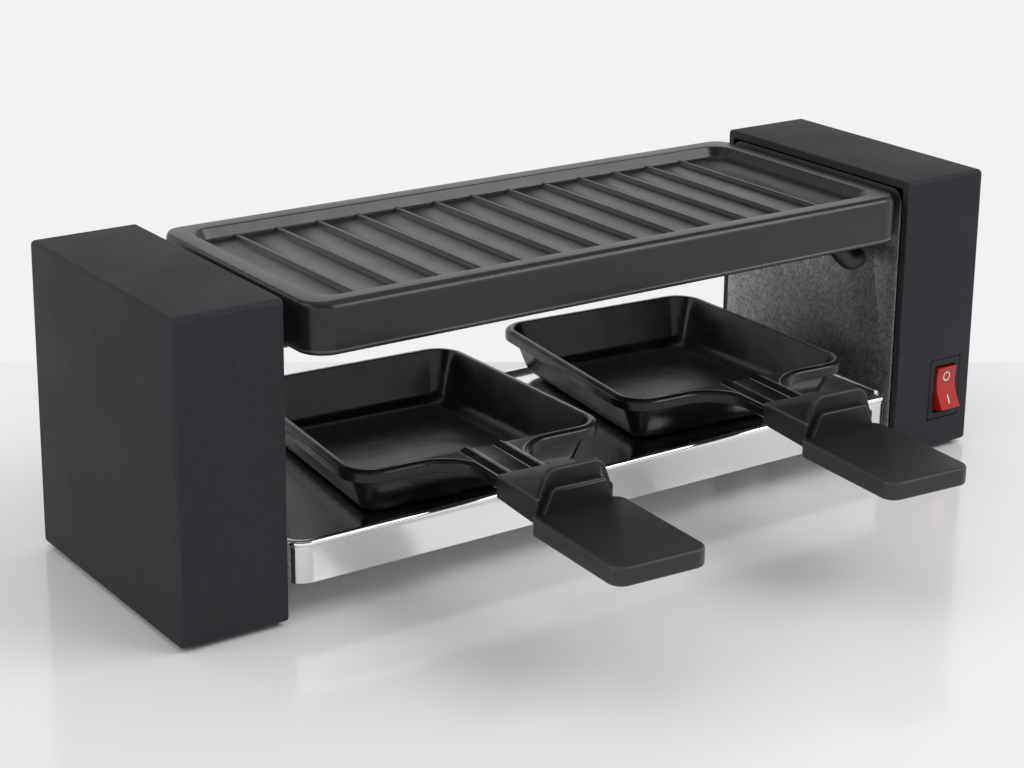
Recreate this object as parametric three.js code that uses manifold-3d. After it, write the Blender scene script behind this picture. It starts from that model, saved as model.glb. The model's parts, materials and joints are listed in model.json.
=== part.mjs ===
import * as THREE from 'three';
import { mergeVertices } from 'three/addons/utils/BufferGeometryUtils.js';
import Module from 'manifold-3d';

const wasm = await Module();
wasm.setup();

// Raclette grill for two, in millimetres. X runs along its length towards the switch,
// Y runs from the handles to the back, and Z runs up from the table.

// Whole body
const bodyLength = 346;
const bodyDepth = 105;
const bodyHeight = 111.5;
const housingWidth = 39;
const seatGap = 0.3;
const cutOverrun = 1;

// Housings: hollow end casings, open towards the middle
const housingWall = 3;
const housingEdge = 2;
const housingCorner = 3;
const bossRadius = 4.2;
const bossInset = 12.5;
const bossSink = 1;
const bossBoreDepth = 12;

// Feet
const footHeight = 1.5;
const footRadius = 6;
const footInset = 14;

// Screws
const screwShank = 1.5;
const screwHeadRadius = 2.9;
const screwHeadHeight = 1.8;
const screwReach = 9;
const screwSlotWidth = 0.9;
const screwSlotDepth = 0.8;

// Side plates: sheet steel set in the open side of each housing
const plateSheet = 0.8;
const plateProud = 0.6;
const plateEdgeGap = 0.5;
const plateCorner = 5;
const ledgeReach = 11.4;
const ledgeWidth = 12;
const ledgeOffset = 28;
const ledgeSheet = 1.2;

// Grill plate
const grillLeftGap = 8.2;
const grillRightGap = 2.4;
const grillOverhang = 1.5;
const grillDrop = 4;
const grillSkirt = 17.8;
const grillWall = 3;
const grillCorner = 10;
const grillEdge = 2;
const grillRimWidth = 7.2;
const recessDepth = 4;
const recessSlope = 4;
const recessCorner = 9;
const grillFloor = 3;
const ribCount = 13;
const ribEndGap = 17;
const ribShift = 3.6;
const ribHeight = 2;
const ribWidth = 5.4;
const ribSlope = 1.7;
const ribEndRadius = 2.4;

// Base tray
const traySkirtBottom = 12.8;
const trayHeight = 15;
const trayFloorDrop = 1.8;
const traySheet = 1;
const trayEdge = 0.7;
const trayRimWidth = 3.4;
const trayCorner = 6;
const trayScrewOffset = 15;
const trayScrewDrop = 8.3;
const trayScrewReach = 5;

// Heating element: one bent tube whose two ends pass through the right side plate
const tubeRadius = 3.25;
const tubeLegInset = 11;
const tubeDrop = 0.7;
const tubeLeftGap = 35.4;
const tubeRightGap = 9.4;
const tubeBend = 7;
const tubeDip = 8;
const tubeDipRun = 12;
const tubeEndOffset = 12;
const tubeEndReach = 12;
const collarRadius = 7;
const collarWidth = 2;
const insulatorRadius = 4;
const insulatorLength = 5;
const pinRadius = 1.2;
const pinLength = 11;

// Bracket that carries the closed end of the element
const bracketWidth = 14;
const bracketSheet = 1.2;
const bracketFoot = 16;
const bracketHook = 6;
const rivetRadius = 1.6;
const rivetHeadRadius = 2.8;
const rivetHeadHeight = 1;
const rivetDrop = 9;

// Pans
const panSpacing = 16.6;
const panShift = 4.1;
const panStagger = 2.15;
const panYawLeft = 3;
const panYawRight = 4;
const panHeight = 19.7;
const panDepth = 104;
const panWidthShare = 0.7646;
const panTaper = 11;
const panCorner = 12;
const panFloorCorner = 4;
const panSheet = 1;
const panRimWidth = 3.4;
const panFlange = 4.3;
const panLip = 0.8;
const panSlopeRun = 5;
const panFillet = 6.5;
const tongueWidth = 20;
const tongueLength = 29.5;
const tongueFillet = 16;
const tongueTabLength = 18;
const tongueTabInset = 3;
const tongueTabDrop = 0.5;
const tongueTabSheet = 2;
const tongueTabRoot = 4;
const beadWidth = 6;
const beadHeight = 1.3;
const beadOffset = 6.5;

// Handles
const handleWidth = 35;
const handleEdge = 0.8;
const sleeveWidth = 29.4;
const sleeveRise = 4;
const sleeveBackHeight = 8.2;
const sleeveFrontHeight = 9.3;
const sleeveLength = 22;
const guardThickness = 2.6;
const guardHeight = 10.2;
const guardSink = 1.2;
const guardTopWidth = 21;
const guardCorner = 4.6;
const stepLength = 2.5;
const stepRise = 3.5;
const stepTopWidth = 19.4;
const stepFootWidth = 27.4;
const stepCorner = 1.5;
const paddleLength = 50.2;
const paddleThickness = 6.4;
const paddleDrop = 4.8;
const paddleSink = 1.2;
const paddleCorner = 5;
const paddleEdge = 1;
const handleScrewInset = 10;
const handleScrewReach = 3.3;
const handleScrewWeb = 1.6;

// Rocker switch in the front of the right housing
const switchInset = 13.8;
const switchHeight = 25.4;
const switchRecessWidth = 16.3;
const switchRecessHeight = 24.6;
const switchRecessDepth = 1.2;
const switchBezelProud = 0.2;
const bezelCorner = 1;
const switchCaseWidth = 13.4;
const switchCaseHeight = 20.6;
const switchCaseDepth = 19;
const switchBezelWidth = 15.7;
const switchBezelHeight = 23.8;
const rockerWidth = 9.8;
const rockerTipRise = 4.8;
const rockerTipHeight = 8.2;
const rockerWaistRise = 3;
const rockerShoulderHeight = 8.7;
const rockerCheekDepth = 2.4;
const rockerCheekHeight = 7.6;
const rockerKeelDepth = 4.6;
const rockerKeelHeight = 3;
const rockerPivotDepth = 1.6;
const rockerSideGap = 0.35;
const rockerPocketHeight = 18.8;
const rockerPocketSpare = 1.2;
const rockerTilt = 11;
const trunnionRadius = 1.2;
const trunnionReach = 0.8;
const tabWidth = 4.8;
const tabSheet = 0.8;
const tabLength = 8;
const tabSpread = 7;
const tabRise = 12;

// Parts inside the right housing
const wireRadius = 1;
const wireBite = 4;
const wireBow = 9;
const wireDrop = 18;
const blockWidth = 12;
const blockLength = 18;
const blockHeight = 14;
const blockStart = 6;
const blockBore = 1.7;
const blockSpread = 4;
const fuseRadius = 2.2;
const fuseLength = 16;
const fuseLead = 7.5;
const earthRise = 4.5;
const earthTagRadius = 3.8;
const earthTagSheet = 0.8;
const earthBarrelWidth = 2.6;
const earthBarrelLength = 9;
const earthScrewReach = 4;
const glandHeight = 22;
const glandNeckRadius = 5;
const glandFlangeRadius = 7;
const glandFlangeWidth = 2.2;
const glandBore = 3.3;

// Smoothness of round shapes, in counts
const roundSides = 12;
const cornerSteps = 4;
const edgeSteps = 2;
const filletSteps = 3;
const tubeSides = 6;
const wireSides = 3;
const wireSteps = 12;

// Places that follow from the sizes above
const innerX = bodyLength / 2 - housingWidth;
const outerX = bodyLength / 2;
const middleX = (innerX + outerX) / 2;
const halfDepth = bodyDepth / 2;
const cavityX = outerX - housingWall;
const cavityHalfDepth = halfDepth - housingWall;
const cavityBottom = footHeight + housingWall;
const cavityTop = bodyHeight - housingWall;
const plateInnerX = innerX - plateProud;
const plateOuterX = plateInnerX + plateSheet;
const plateHalfDepth = cavityHalfDepth - plateEdgeGap;
const plateBottom = cavityBottom + plateEdgeGap;
const plateTop = cavityTop - plateEdgeGap;
const screwHole = screwShank + seatGap;
const bossStartX = plateOuterX + seatGap;
const bossOffset = halfDepth - bossInset;
const bossLow = cavityBottom + bossRadius - bossSink;
const bossHigh = cavityTop - bossRadius - bossRadius;

const grillHalfLength = plateInnerX - (grillLeftGap + grillRightGap) / 2;
const grillMiddleX = (grillLeftGap - grillRightGap) / 2;
const grillHalfDepth = halfDepth + grillOverhang;
const grillTop = bodyHeight - grillDrop;
const grillBottom = grillTop - grillSkirt;
const recessFloor = grillTop - recessDepth;
const ribEndX = grillHalfLength - grillRimWidth - recessSlope - ribEndGap;
const ledgeTop = grillBottom - seatGap;

const trayHalfLength = plateInnerX - seatGap;
const trayRimTop = traySkirtBottom + trayHeight;
const trayFloorTop = trayRimTop - trayFloorDrop;
const trayScrewHeight = trayRimTop - trayScrewDrop;

const tubeLegOffset = halfDepth - tubeLegInset;
const tubeHeight = grillBottom - tubeDrop;
const tubeLowHeight = tubeHeight - tubeDip;
const tubeLeftEnd = plateInnerX - tubeLeftGap;
const tubeRightRun = plateInnerX - tubeRightGap;
const tubeEndX = plateOuterX + tubeEndReach;
const tubeHole = tubeRadius + seatGap + seatGap;
const bracketTop = tubeHeight - tubeRadius - seatGap;
const rivetHeight = bracketTop - rivetDrop;

const panFrontWidth = plateInnerX * panWidthShare;
const panBackWidth = panFrontWidth - panTaper;
const panOffset = (panFrontWidth + panSpacing) / 2;
const panBase = trayFloorTop + seatGap;
const panFloorTop = panBase + panSheet;
const panRimTop = panBase + panHeight;
const panFront = -panDepth / 2;
const tongueEnd = panFront - tongueLength;
const halfTab = tongueWidth / 2 - tongueTabInset;
const tabEnd = tongueEnd - tongueTabLength;
const tabTop = panRimTop - tongueTabDrop;
const tabBottom = tabTop - tongueTabSheet;

const sleeveBack = tongueEnd - seatGap;
const sleeveFront = sleeveBack - sleeveLength;
const sleeveTop = panRimTop + sleeveRise;
const guardFront = sleeveFront - guardThickness;
const guardBottom = sleeveTop - guardSink;
const paddleTop = sleeveTop - paddleDrop;
const paddleBack = guardFront + paddleSink;
const handleScrewY = sleeveBack - handleScrewInset;
const handleScrewSeat = tabBottom - handleScrewWeb;

const switchX = outerX - switchInset;
const switchFace = -halfDepth - switchBezelProud;
const bezelBack = -halfDepth + switchRecessDepth - seatGap;
const caseBack = -halfDepth + switchCaseDepth;
const pivotY = -halfDepth + rockerPivotDepth;

const earthHeight = cavityBottom + earthRise;
const belowPin = tubeLowHeight - pinRadius - seatGap;
const fuseX = tubeEndX + pinLength;
const fuseTop = belowPin - fuseLead;
const fuseBase = fuseTop - fuseLength;

// Materials
const black = (roughness, shade = 0x1c1c1e) =>
  new THREE.MeshStandardMaterial({ color: shade, roughness, metalness: 0 });
const metal = (shade, roughness) =>
  new THREE.MeshStandardMaterial({ color: shade, roughness, metalness: 1 });
const finishes = {
  housing: () => black(0.75),
  coating: () => black(0.3, 0x151517),
  castPlate: () => black(0.45, 0x202022),
  handle: () => black(0.7, 0x1f1f21),
  tube: () => black(0.6, 0x242426),
  sheet: () => metal(0xa8a8a4, 0.45),
  polished: () => metal(0xdadada, 0.12),
  screw: () => metal(0x9a9a98, 0.35),
  rubber: () => black(0.9, 0x111111),
  ceramic: () => new THREE.MeshStandardMaterial({ color: 0xe8e2d2, roughness: 0.6 }),
  rocker: () => new THREE.MeshStandardMaterial({ color: 0xd0201c, roughness: 0.25 }),
  brass: () => metal(0xc8a45a, 0.35),
  block: () => new THREE.MeshStandardMaterial({ color: 0xd8d4c4, roughness: 0.6 }),
  liveWire: () => new THREE.MeshStandardMaterial({ color: 0x6b3a1e, roughness: 0.6 }),
  neutralWire: () => new THREE.MeshStandardMaterial({ color: 0x2d5fb0, roughness: 0.6 }),
  earthWire: () => new THREE.MeshStandardMaterial({ color: 0x6aa32f, roughness: 0.6 }),
};

// Solids: closed meshes that can be joined and cut
function solidOf(geometry) {
  const bare = geometry.clone();
  bare.deleteAttribute('normal');
  bare.deleteAttribute('uv');
  const merged = mergeVertices(bare);
  return new wasm.Manifold(new wasm.Mesh({
    numProp: 3,
    vertProperties: new Float32Array(merged.attributes.position.array),
    triVerts: new Uint32Array(merged.index.array),
  }));
}

function geometryOf(solid) {
  const { vertProperties, triVerts } = solid.getMesh();
  const geometry = new THREE.BufferGeometry();
  geometry.setAttribute('position', new THREE.BufferAttribute(new Float32Array(vertProperties), 3));
  geometry.setIndex(new THREE.BufferAttribute(new Uint32Array(triVerts), 1));
  geometry.computeVertexNormals();
  return geometry;
}

const join = (...pieces) => pieces.reduce((sum, piece) => sum.add(piece));
const cut = (base, ...tools) => tools.reduce((rest, tool) => rest.subtract(tool), base);

// Outlines: polygons whose corners are rounded, and which can be drawn in by an inset.
// A corner's radius shrinks with the inset, down to the least radius it may have.
function roundedOutline(corners, inset = 0) {
  const count = corners.length;
  const edges = corners.map((corner, index) => {
    const next = corners[(index + 1) % count];
    const along = new THREE.Vector2(next.x - corner.x, next.y - corner.y).normalize();
    const inward = new THREE.Vector2(-along.y, along.x);
    const start = new THREE.Vector2(corner.x, corner.y).addScaledVector(inward, inset);
    return { along, inward, start };
  });
  const points = [];
  corners.forEach((corner, index) => {
    const before = edges[(index + count - 1) % count];
    const after = edges[index];
    const cross = before.along.cross(after.along);
    const gap = after.start.clone().sub(before.start);
    const reach = gap.cross(after.along) / cross;
    const tip = before.start.clone().addScaledVector(before.along, reach);
    const turn = Math.sign(cross);
    const radius = Math.max(corner.radius - turn * inset, corner.least ?? 0);
    if (radius === 0) {
      points.push(tip);
      return;
    }
    const angle = Math.acos(THREE.MathUtils.clamp(before.along.dot(after.along), -1, 1));
    const setback = radius * Math.tan(angle / 2);
    const begin = tip.clone().addScaledVector(before.along, -setback);
    const centre = begin.clone().addScaledVector(before.inward, turn * radius);
    const spoke = begin.clone().sub(centre);
    for (let step = 0; step <= cornerSteps; step += 1) {
      const swing = (turn * angle * step) / cornerSteps;
      points.push(spoke.clone().rotateAround(new THREE.Vector2(), swing).add(centre));
    }
  });
  return points;
}

const rectangleCorners = (halfX, halfY, radius) => [
  { x: -halfX, y: -halfY, radius },
  { x: halfX, y: -halfY, radius },
  { x: halfX, y: halfY, radius },
  { x: -halfX, y: halfY, radius },
];

// Loft: outlines stacked at rising heights, closed at both ends
function loft(levels) {
  const count = levels[0].outline.length;
  const positions = [];
  levels.forEach(({ z, outline }) => outline.forEach((point) => positions.push(point.x, point.y, z)));
  const indices = [];
  for (let level = 0; level < levels.length - 1; level += 1) {
    for (let place = 0; place < count; place += 1) {
      const low = level * count + place;
      const lowNext = level * count + ((place + 1) % count);
      indices.push(low, lowNext, lowNext + count, low, lowNext + count, low + count);
    }
  }
  const top = (levels.length - 1) * count;
  THREE.ShapeUtils.triangulateShape(levels[0].outline, []).forEach(([a, b, c]) => {
    indices.push(a, c, b);
  });
  THREE.ShapeUtils.triangulateShape(levels[levels.length - 1].outline, []).forEach(([a, b, c]) => {
    indices.push(top + a, top + b, top + c);
  });
  const geometry = new THREE.BufferGeometry();
  geometry.setAttribute('position', new THREE.Float32BufferAttribute(positions, 3));
  geometry.setIndex(indices);
  return solidOf(geometry);
}

const profileLoft = (corners, profile) =>
  loft(profile.map(({ z, inset }) => ({ z, outline: roundedOutline(corners, inset) })));

// Prisms: a shape drawn across one axis and pushed along it, with rounded edges if wanted.
// The shape's own two directions are Y and Z along X, X and Z along Y, and X and Y along Z.
const unitX = new THREE.Vector3(1, 0, 0);
const unitY = new THREE.Vector3(0, 1, 0);
const unitZ = new THREE.Vector3(0, 0, 1);
const turnTo = {
  x: new THREE.Matrix4().makeBasis(unitY, unitZ, unitX),
  y: new THREE.Matrix4().makeBasis(unitX, unitZ, unitY.clone().negate()),
  z: new THREE.Matrix4(),
};

function prismGeometry(axis, shape, low, high, edge = 0) {
  const geometry = new THREE.ExtrudeGeometry(shape, {
    depth: high - low - edge - edge,
    bevelEnabled: edge > 0,
    bevelThickness: edge,
    bevelSize: edge,
    bevelOffset: -edge,
    bevelSegments: edgeSteps,
    curveSegments: cornerSteps,
  });
  geometry.translate(0, 0, axis === 'y' ? edge - high : low + edge);
  geometry.applyMatrix4(turnTo[axis]);
  return geometry;
}

const prism = (...sizes) => solidOf(prismGeometry(...sizes));

function rectangleShape(low, high, bottom, top, radius = 0) {
  const halfX = (high - low) / 2;
  const halfY = (top - bottom) / 2;
  const middle = new THREE.Vector2(low + halfX, bottom + halfY);
  const points = roundedOutline(rectangleCorners(halfX, halfY, radius));
  return new THREE.Shape(points.map((point) => point.add(middle)));
}

const polygonShape = (pairs) => new THREE.Shape(pairs.map(([a, b]) => new THREE.Vector2(a, b)));

function circlePath(a, b, radius) {
  const path = new THREE.Path();
  path.absarc(a, b, radius, 0, Math.PI * 2, true);
  return path;
}

const block = (x0, x1, y0, y1, z0, z1) => prism('z', rectangleShape(x0, x1, y0, y1), z0, z1);

function rod(axis, radius, low, high, a, b, sides = roundSides) {
  const geometry = new THREE.CylinderGeometry(radius, radius, high - low, sides);
  geometry.rotateX(Math.PI / 2);
  const middle = (low + high) / 2;
  geometry.translate(a, b, axis === 'y' ? -middle : middle);
  geometry.applyMatrix4(turnTo[axis]);
  return solidOf(geometry);
}

// Turned piece: a closed profile of [radius, place] pairs turned about X at (y, z) = (b, c)
function turned(profile, x, b, c) {
  const points = profile.map(([radius, place]) => new THREE.Vector2(radius, place));
  const geometry = new THREE.LatheGeometry(points, roundSides);
  geometry.rotateZ(-Math.PI / 2);
  geometry.translate(x, b, c);
  return solidOf(geometry);
}

// Route of straight runs, with one section of the tube at each of its points
class Route extends THREE.Curve {
  constructor(points) {
    super();
    this.points = points;
  }

  getUtoTmapping(share) {
    return share;
  }

  getPoint(share) {
    const last = this.points.length - 1;
    const index = Math.min(Math.floor(share * last), last - 1);
    return this.points[index].clone().lerp(this.points[index + 1], share * last - index);
  }

  getTangent(share) {
    const last = this.points.length - 1;
    const index = Math.round(share * last);
    const here = this.points[index];
    const along = new THREE.Vector3();
    if (index > 0) along.add(here.clone().sub(this.points[index - 1]).normalize());
    if (index < last) along.add(this.points[index + 1].clone().sub(here).normalize());
    return along.normalize();
  }
}

function tube(points, radius, sides) {
  const section = new THREE.Shape();
  section.absarc(0, 0, radius, 0, Math.PI * 2);
  return solidOf(new THREE.ExtrudeGeometry(section, {
    steps: points.length - 1,
    extrudePath: new Route(points),
    curveSegments: sides,
  }));
}

const grill = new THREE.Group();
const leftEnd = new THREE.Group();
leftEnd.rotation.z = Math.PI;
grill.add(leftEnd);

function addPiece(name, solid, finish, parent = grill) {
  const mesh = new THREE.Mesh(geometryOf(solid), finishes[finish]());
  mesh.name = name;
  parent.add(mesh);
  return mesh;
}

const frontBack = [['front', -1], ['rear', 1]];

// Housings
const bossPlaces = [];
frontBack.forEach(([, way]) => {
  bossPlaces.push([way * bossOffset, bossLow]);
  bossPlaces.push([way * bossOffset, bossHigh]);
});

function housingShell() {
  const outline = rectangleShape(
    -halfDepth, halfDepth, footHeight, bodyHeight, housingCorner,
  );
  const outer = prism('x', outline, innerX, outerX, housingEdge);
  const hollow = block(
    innerX - cutOverrun, cavityX, -cavityHalfDepth, cavityHalfDepth, cavityBottom, cavityTop,
  );
  const bosses = bossPlaces.map(([y, z]) => rod('x', bossRadius, bossStartX, cavityX + cutOverrun, y, z));
  const bores = bossPlaces.map(([y, z]) =>
    rod('x', screwHole, bossStartX - cutOverrun, bossStartX + bossBoreDepth, y, z));
  return cut(join(cut(outer, hollow), ...bosses), ...bores);
}

function switchOpening() {
  const recess = block(
    switchX - switchRecessWidth / 2, switchX + switchRecessWidth / 2,
    -halfDepth - cutOverrun, -halfDepth + switchRecessDepth,
    switchHeight - switchRecessHeight / 2, switchHeight + switchRecessHeight / 2,
  );
  const opening = block(
    switchX - switchCaseWidth / 2 - seatGap, switchX + switchCaseWidth / 2 + seatGap,
    -halfDepth - cutOverrun, -cavityHalfDepth + cutOverrun,
    switchHeight - switchCaseHeight / 2 - seatGap, switchHeight + switchCaseHeight / 2 + seatGap,
  );
  return join(recess, opening);
}

const glandHole = rod(
  'y', glandNeckRadius + seatGap, cavityHalfDepth - cutOverrun, halfDepth + cutOverrun,
  middleX, glandHeight,
);
addPiece('housing_left', housingShell(), 'housing', leftEnd);
addPiece('housing_right', cut(housingShell(), switchOpening(), glandHole), 'housing');

// Feet
const foot = (way) =>
  rod('z', footRadius, 0, footHeight - seatGap, middleX, way * (halfDepth - footInset));

// Screws: a slotted head and a plain shank that points along +X before it is turned
function screw(reach) {
  const body = turned([
    [0, 0],
    [screwHeadRadius - screwSlotDepth, 0],
    [screwHeadRadius, screwSlotDepth],
    [screwHeadRadius, screwHeadHeight],
    [screwShank, screwHeadHeight],
    [screwShank, screwHeadHeight + reach],
    [0, screwHeadHeight + reach],
  ], 0, 0, 0);
  const slotReach = screwHeadRadius + cutOverrun;
  const slot = block(
    -cutOverrun, screwSlotDepth, -slotReach, slotReach, -screwSlotWidth / 2, screwSlotWidth / 2,
  );
  return cut(body, slot);
}

function addScrew(name, x, y, z, parent, reach = screwReach) {
  const mesh = addPiece(name, screw(reach), 'screw', parent);
  mesh.position.set(x, y, z);
  return mesh;
}

const plateScrewFace = plateInnerX - seatGap - screwHeadHeight;
const trayScrewFace = trayHalfLength - traySheet - seatGap - screwHeadHeight;
for (const [end, parent, turn] of [['left', leftEnd, -1], ['right', grill, 1]]) {
  frontBack.forEach(([place, sign]) => {
    const way = sign * turn;
    addPiece(`foot_${end}_${place}`, foot(way), 'rubber', parent);
    addScrew(`plate_screw_${end}_${place}_low`, plateScrewFace, way * bossOffset, bossLow, parent);
    addScrew(`plate_screw_${end}_${place}_high`, plateScrewFace, way * bossOffset, bossHigh, parent);
    addScrew(
      `tray_screw_${end}_${place}`, trayScrewFace, way * trayScrewOffset, trayScrewHeight,
      parent, trayScrewReach,
    );
  });
}

// Side plates, each with two ledges bent out of it that carry the grill plate
function sidePlate(extraHoles) {
  const outline = rectangleShape(-plateHalfDepth, plateHalfDepth, plateBottom, plateTop, plateCorner);
  bossPlaces.forEach(([y, z]) => outline.holes.push(circlePath(y, z, screwHole)));
  frontBack.forEach(([, way]) => {
    outline.holes.push(circlePath(way * trayScrewOffset, trayScrewHeight, screwHole));
  });
  extraHoles.forEach(([y, z, radius]) => outline.holes.push(circlePath(y, z, radius)));
  const windows = frontBack.map(([, way]) => block(
    plateInnerX - cutOverrun, plateOuterX + cutOverrun,
    way * ledgeOffset - ledgeWidth / 2, way * ledgeOffset + ledgeWidth / 2,
    ledgeTop, ledgeTop + ledgeReach,
  ));
  const ledges = frontBack.map(([, way]) => block(
    plateInnerX - ledgeReach, plateOuterX,
    way * ledgeOffset - ledgeWidth / 2, way * ledgeOffset + ledgeWidth / 2,
    ledgeTop - ledgeSheet, ledgeTop,
  ));
  return join(cut(prism('x', outline, plateInnerX, plateOuterX), ...windows), ...ledges);
}

addPiece('side_plate_left', sidePlate([[0, rivetHeight, rivetRadius + seatGap]]), 'sheet', leftEnd);
addPiece('side_plate_right', sidePlate([
  [-tubeEndOffset, tubeLowHeight, tubeHole],
  [tubeEndOffset, tubeLowHeight, tubeHole],
  [0, earthHeight, screwHole],
]), 'sheet');

// Base tray: a pressed sheet dish with a raised rim and a skirt all round
function baseTray() {
  const corners = rectangleCorners(trayHalfLength, halfDepth, trayCorner);
  const shapeAt = (inset) => new THREE.Shape(roundedOutline(corners, inset));
  const outer = prism('z', shapeAt(0), traySkirtBottom, trayRimTop, trayEdge);
  const under = prism('z', shapeAt(traySheet), traySkirtBottom - cutOverrun, trayRimTop - traySheet);
  const dishInset = trayRimWidth - traySheet;
  const dishOuter = prism('z', shapeAt(dishInset), trayFloorTop - traySheet, trayRimTop);
  const dish = prism('z', shapeAt(trayRimWidth), trayFloorTop, trayRimTop + cutOverrun);
  const holes = [];
  for (const end of [-1, 1]) {
    for (const way of [-1, 1]) {
      const low = end * trayHalfLength - traySheet - cutOverrun;
      const high = end * trayHalfLength + traySheet + cutOverrun;
      holes.push(rod('x', screwHole, low, high, way * trayScrewOffset, trayScrewHeight));
    }
  }
  return cut(outer, cut(under, dishOuter), dish, ...holes);
}
addPiece('base_tray', baseTray(), 'polished');

// Grill plate
function grillPlate() {
  const corners = rectangleCorners(grillHalfLength, grillHalfDepth, grillCorner);
  const outer = prism('z', new THREE.Shape(roundedOutline(corners)), grillBottom, grillTop, grillEdge);
  const under = prism(
    'z', new THREE.Shape(roundedOutline(corners, grillWall)),
    grillBottom - cutOverrun, recessFloor - grillFloor,
  );
  const recessCorners = rectangleCorners(
    grillHalfLength - grillRimWidth, grillHalfDepth - grillRimWidth, recessCorner,
  );
  const recess = profileLoft(recessCorners, [
    { z: recessFloor, inset: recessSlope },
    { z: grillTop, inset: 0 },
    { z: grillTop + cutOverrun, inset: 0 },
  ]);
  const ribCorners = rectangleCorners(
    ribWidth / 2, grillHalfDepth - grillRimWidth - recessSlope, ribEndRadius,
  );
  const ribs = [];
  for (let index = 0; index < ribCount; index += 1) {
    const x = THREE.MathUtils.lerp(-ribEndX, ribEndX, index / (ribCount - 1)) - ribShift;
    const corners = ribCorners.map((corner) => ({ ...corner, x: corner.x + x }));
    ribs.push(profileLoft(corners, [
      { z: recessFloor - grillFloor / 2, inset: 0 },
      { z: recessFloor, inset: 0 },
      { z: recessFloor + ribHeight, inset: ribSlope },
    ]));
  }
  return join(cut(outer, under, recess), ...ribs);
}
addPiece('grill_plate', grillPlate(), 'castPlate').position.x = grillMiddleX;

// Heating element
function arc(centreX, centreY, radius, from, to, z) {
  const points = [];
  const steps = filletSteps + 1;
  for (let step = 0; step <= steps; step += 1) {
    const angle = THREE.MathUtils.degToRad(from + ((to - from) * step) / steps);
    points.push(new THREE.Vector3(
      centreX + radius * Math.cos(angle), centreY + radius * Math.sin(angle), z,
    ));
  }
  return points;
}

function heatingElement() {
  const bend = tubeBend;
  const half = [
    new THREE.Vector3(tubeEndX, -tubeEndOffset, tubeLowHeight),
    ...arc(tubeRightRun + bend, -tubeEndOffset - bend, bend, 90, 180, tubeLowHeight),
    ...arc(tubeRightRun - bend, -tubeLegOffset + bend, bend, 0, -90, tubeLowHeight),
    new THREE.Vector3(tubeRightRun - bend - tubeDipRun, -tubeLegOffset, tubeHeight),
    ...arc(-tubeLeftEnd + bend, -tubeLegOffset + bend, bend, -90, -180, tubeHeight),
  ];
  const rear = half.map(({ x, y, z }) => new THREE.Vector3(x, -y, z)).reverse();
  return tube([...half, ...rear], tubeRadius, tubeSides);
}
addPiece('heating_element', heatingElement(), 'tube');

function ringProfile(bore, radius, width) {
  return [[bore, 0], [radius, 0], [radius, width], [bore, width], [bore, 0]];
}

frontBack.forEach(([place, way]) => {
  const y = way * tubeEndOffset;
  const z = tubeLowHeight;
  const collar = ringProfile(tubeRadius + seatGap, collarRadius, collarWidth);
  const beadFace = tubeEndX + seatGap;
  const bead = ringProfile(pinRadius + seatGap, insulatorRadius, insulatorLength);
  addPiece(`element_collar_${place}`, turned(collar, plateInnerX - seatGap - collarWidth, y, z), 'sheet');
  addPiece(`element_insulator_${place}`, turned(bead, beadFace, y, z), 'ceramic');
  addPiece(`element_pin_${place}`, rod('x', pinRadius, beadFace, beadFace + pinLength, y, z), 'brass');
});

// Bracket and rivet, drawn on the +X side and turned to the left end
function elementBracket() {
  const start = tubeLeftEnd - tubeRadius - seatGap - bracketSheet;
  const end = plateInnerX - seatGap;
  const half = bracketWidth / 2;
  const arm = block(start, end, -half, half, bracketTop - bracketSheet, bracketTop);
  const hook = block(
    start, start + bracketSheet, -half, half, bracketTop - bracketSheet, bracketTop + bracketHook,
  );
  const footPlate = block(end - bracketSheet, end, -half, half, bracketTop - bracketFoot, bracketTop);
  const hole = rod(
    'x', rivetRadius + seatGap, end - bracketSheet - cutOverrun, end + cutOverrun, 0, rivetHeight,
  );
  return cut(join(arm, hook, footPlate), hole);
}

function bracketRivet() {
  const start = plateInnerX - seatGap - bracketSheet - seatGap - rivetHeadHeight;
  const neckStart = rivetHeadHeight;
  const neckEnd = plateOuterX + seatGap - start;
  return turned([
    [0, 0],
    [rivetHeadRadius, 0],
    [rivetHeadRadius, neckStart],
    [rivetRadius, neckStart],
    [rivetRadius, neckEnd],
    [rivetHeadRadius, neckEnd],
    [rivetHeadRadius, neckEnd + rivetHeadHeight],
    [0, neckEnd + rivetHeadHeight],
  ], start, 0, rivetHeight);
}
addPiece('element_bracket', elementBracket(), 'sheet', leftEnd);
addPiece('bracket_rivet', bracketRivet(), 'screw', leftEnd);

// Pans
const panCorners = [
  [-panFrontWidth / 2, panFront],
  [panFrontWidth / 2, panFront],
  [panBackWidth / 2, -panFront],
  [-panBackWidth / 2, -panFront],
].map(([x, y]) => ({ x, y, radius: panCorner, least: panFloorCorner }));
const flangeCorners = [
  panCorners[0],
  { x: -tongueWidth / 2, y: panFront, radius: tongueFillet },
  { x: -tongueWidth / 2, y: tongueEnd, radius: 0 },
  { x: tongueWidth / 2, y: tongueEnd, radius: 0 },
  { x: tongueWidth / 2, y: panFront, radius: tongueFillet },
  ...panCorners.slice(1),
];

function bowlLevels(bottom, fillet, rimInset) {
  const levels = [];
  for (let step = 0; step <= filletSteps; step += 1) {
    const angle = (Math.PI / 2) * (step / filletSteps);
    levels.push({
      z: bottom + fillet * (1 - Math.cos(angle)),
      inset: rimInset + panSlopeRun + fillet * (1 - Math.sin(angle)),
    });
  }
  return levels;
}

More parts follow.
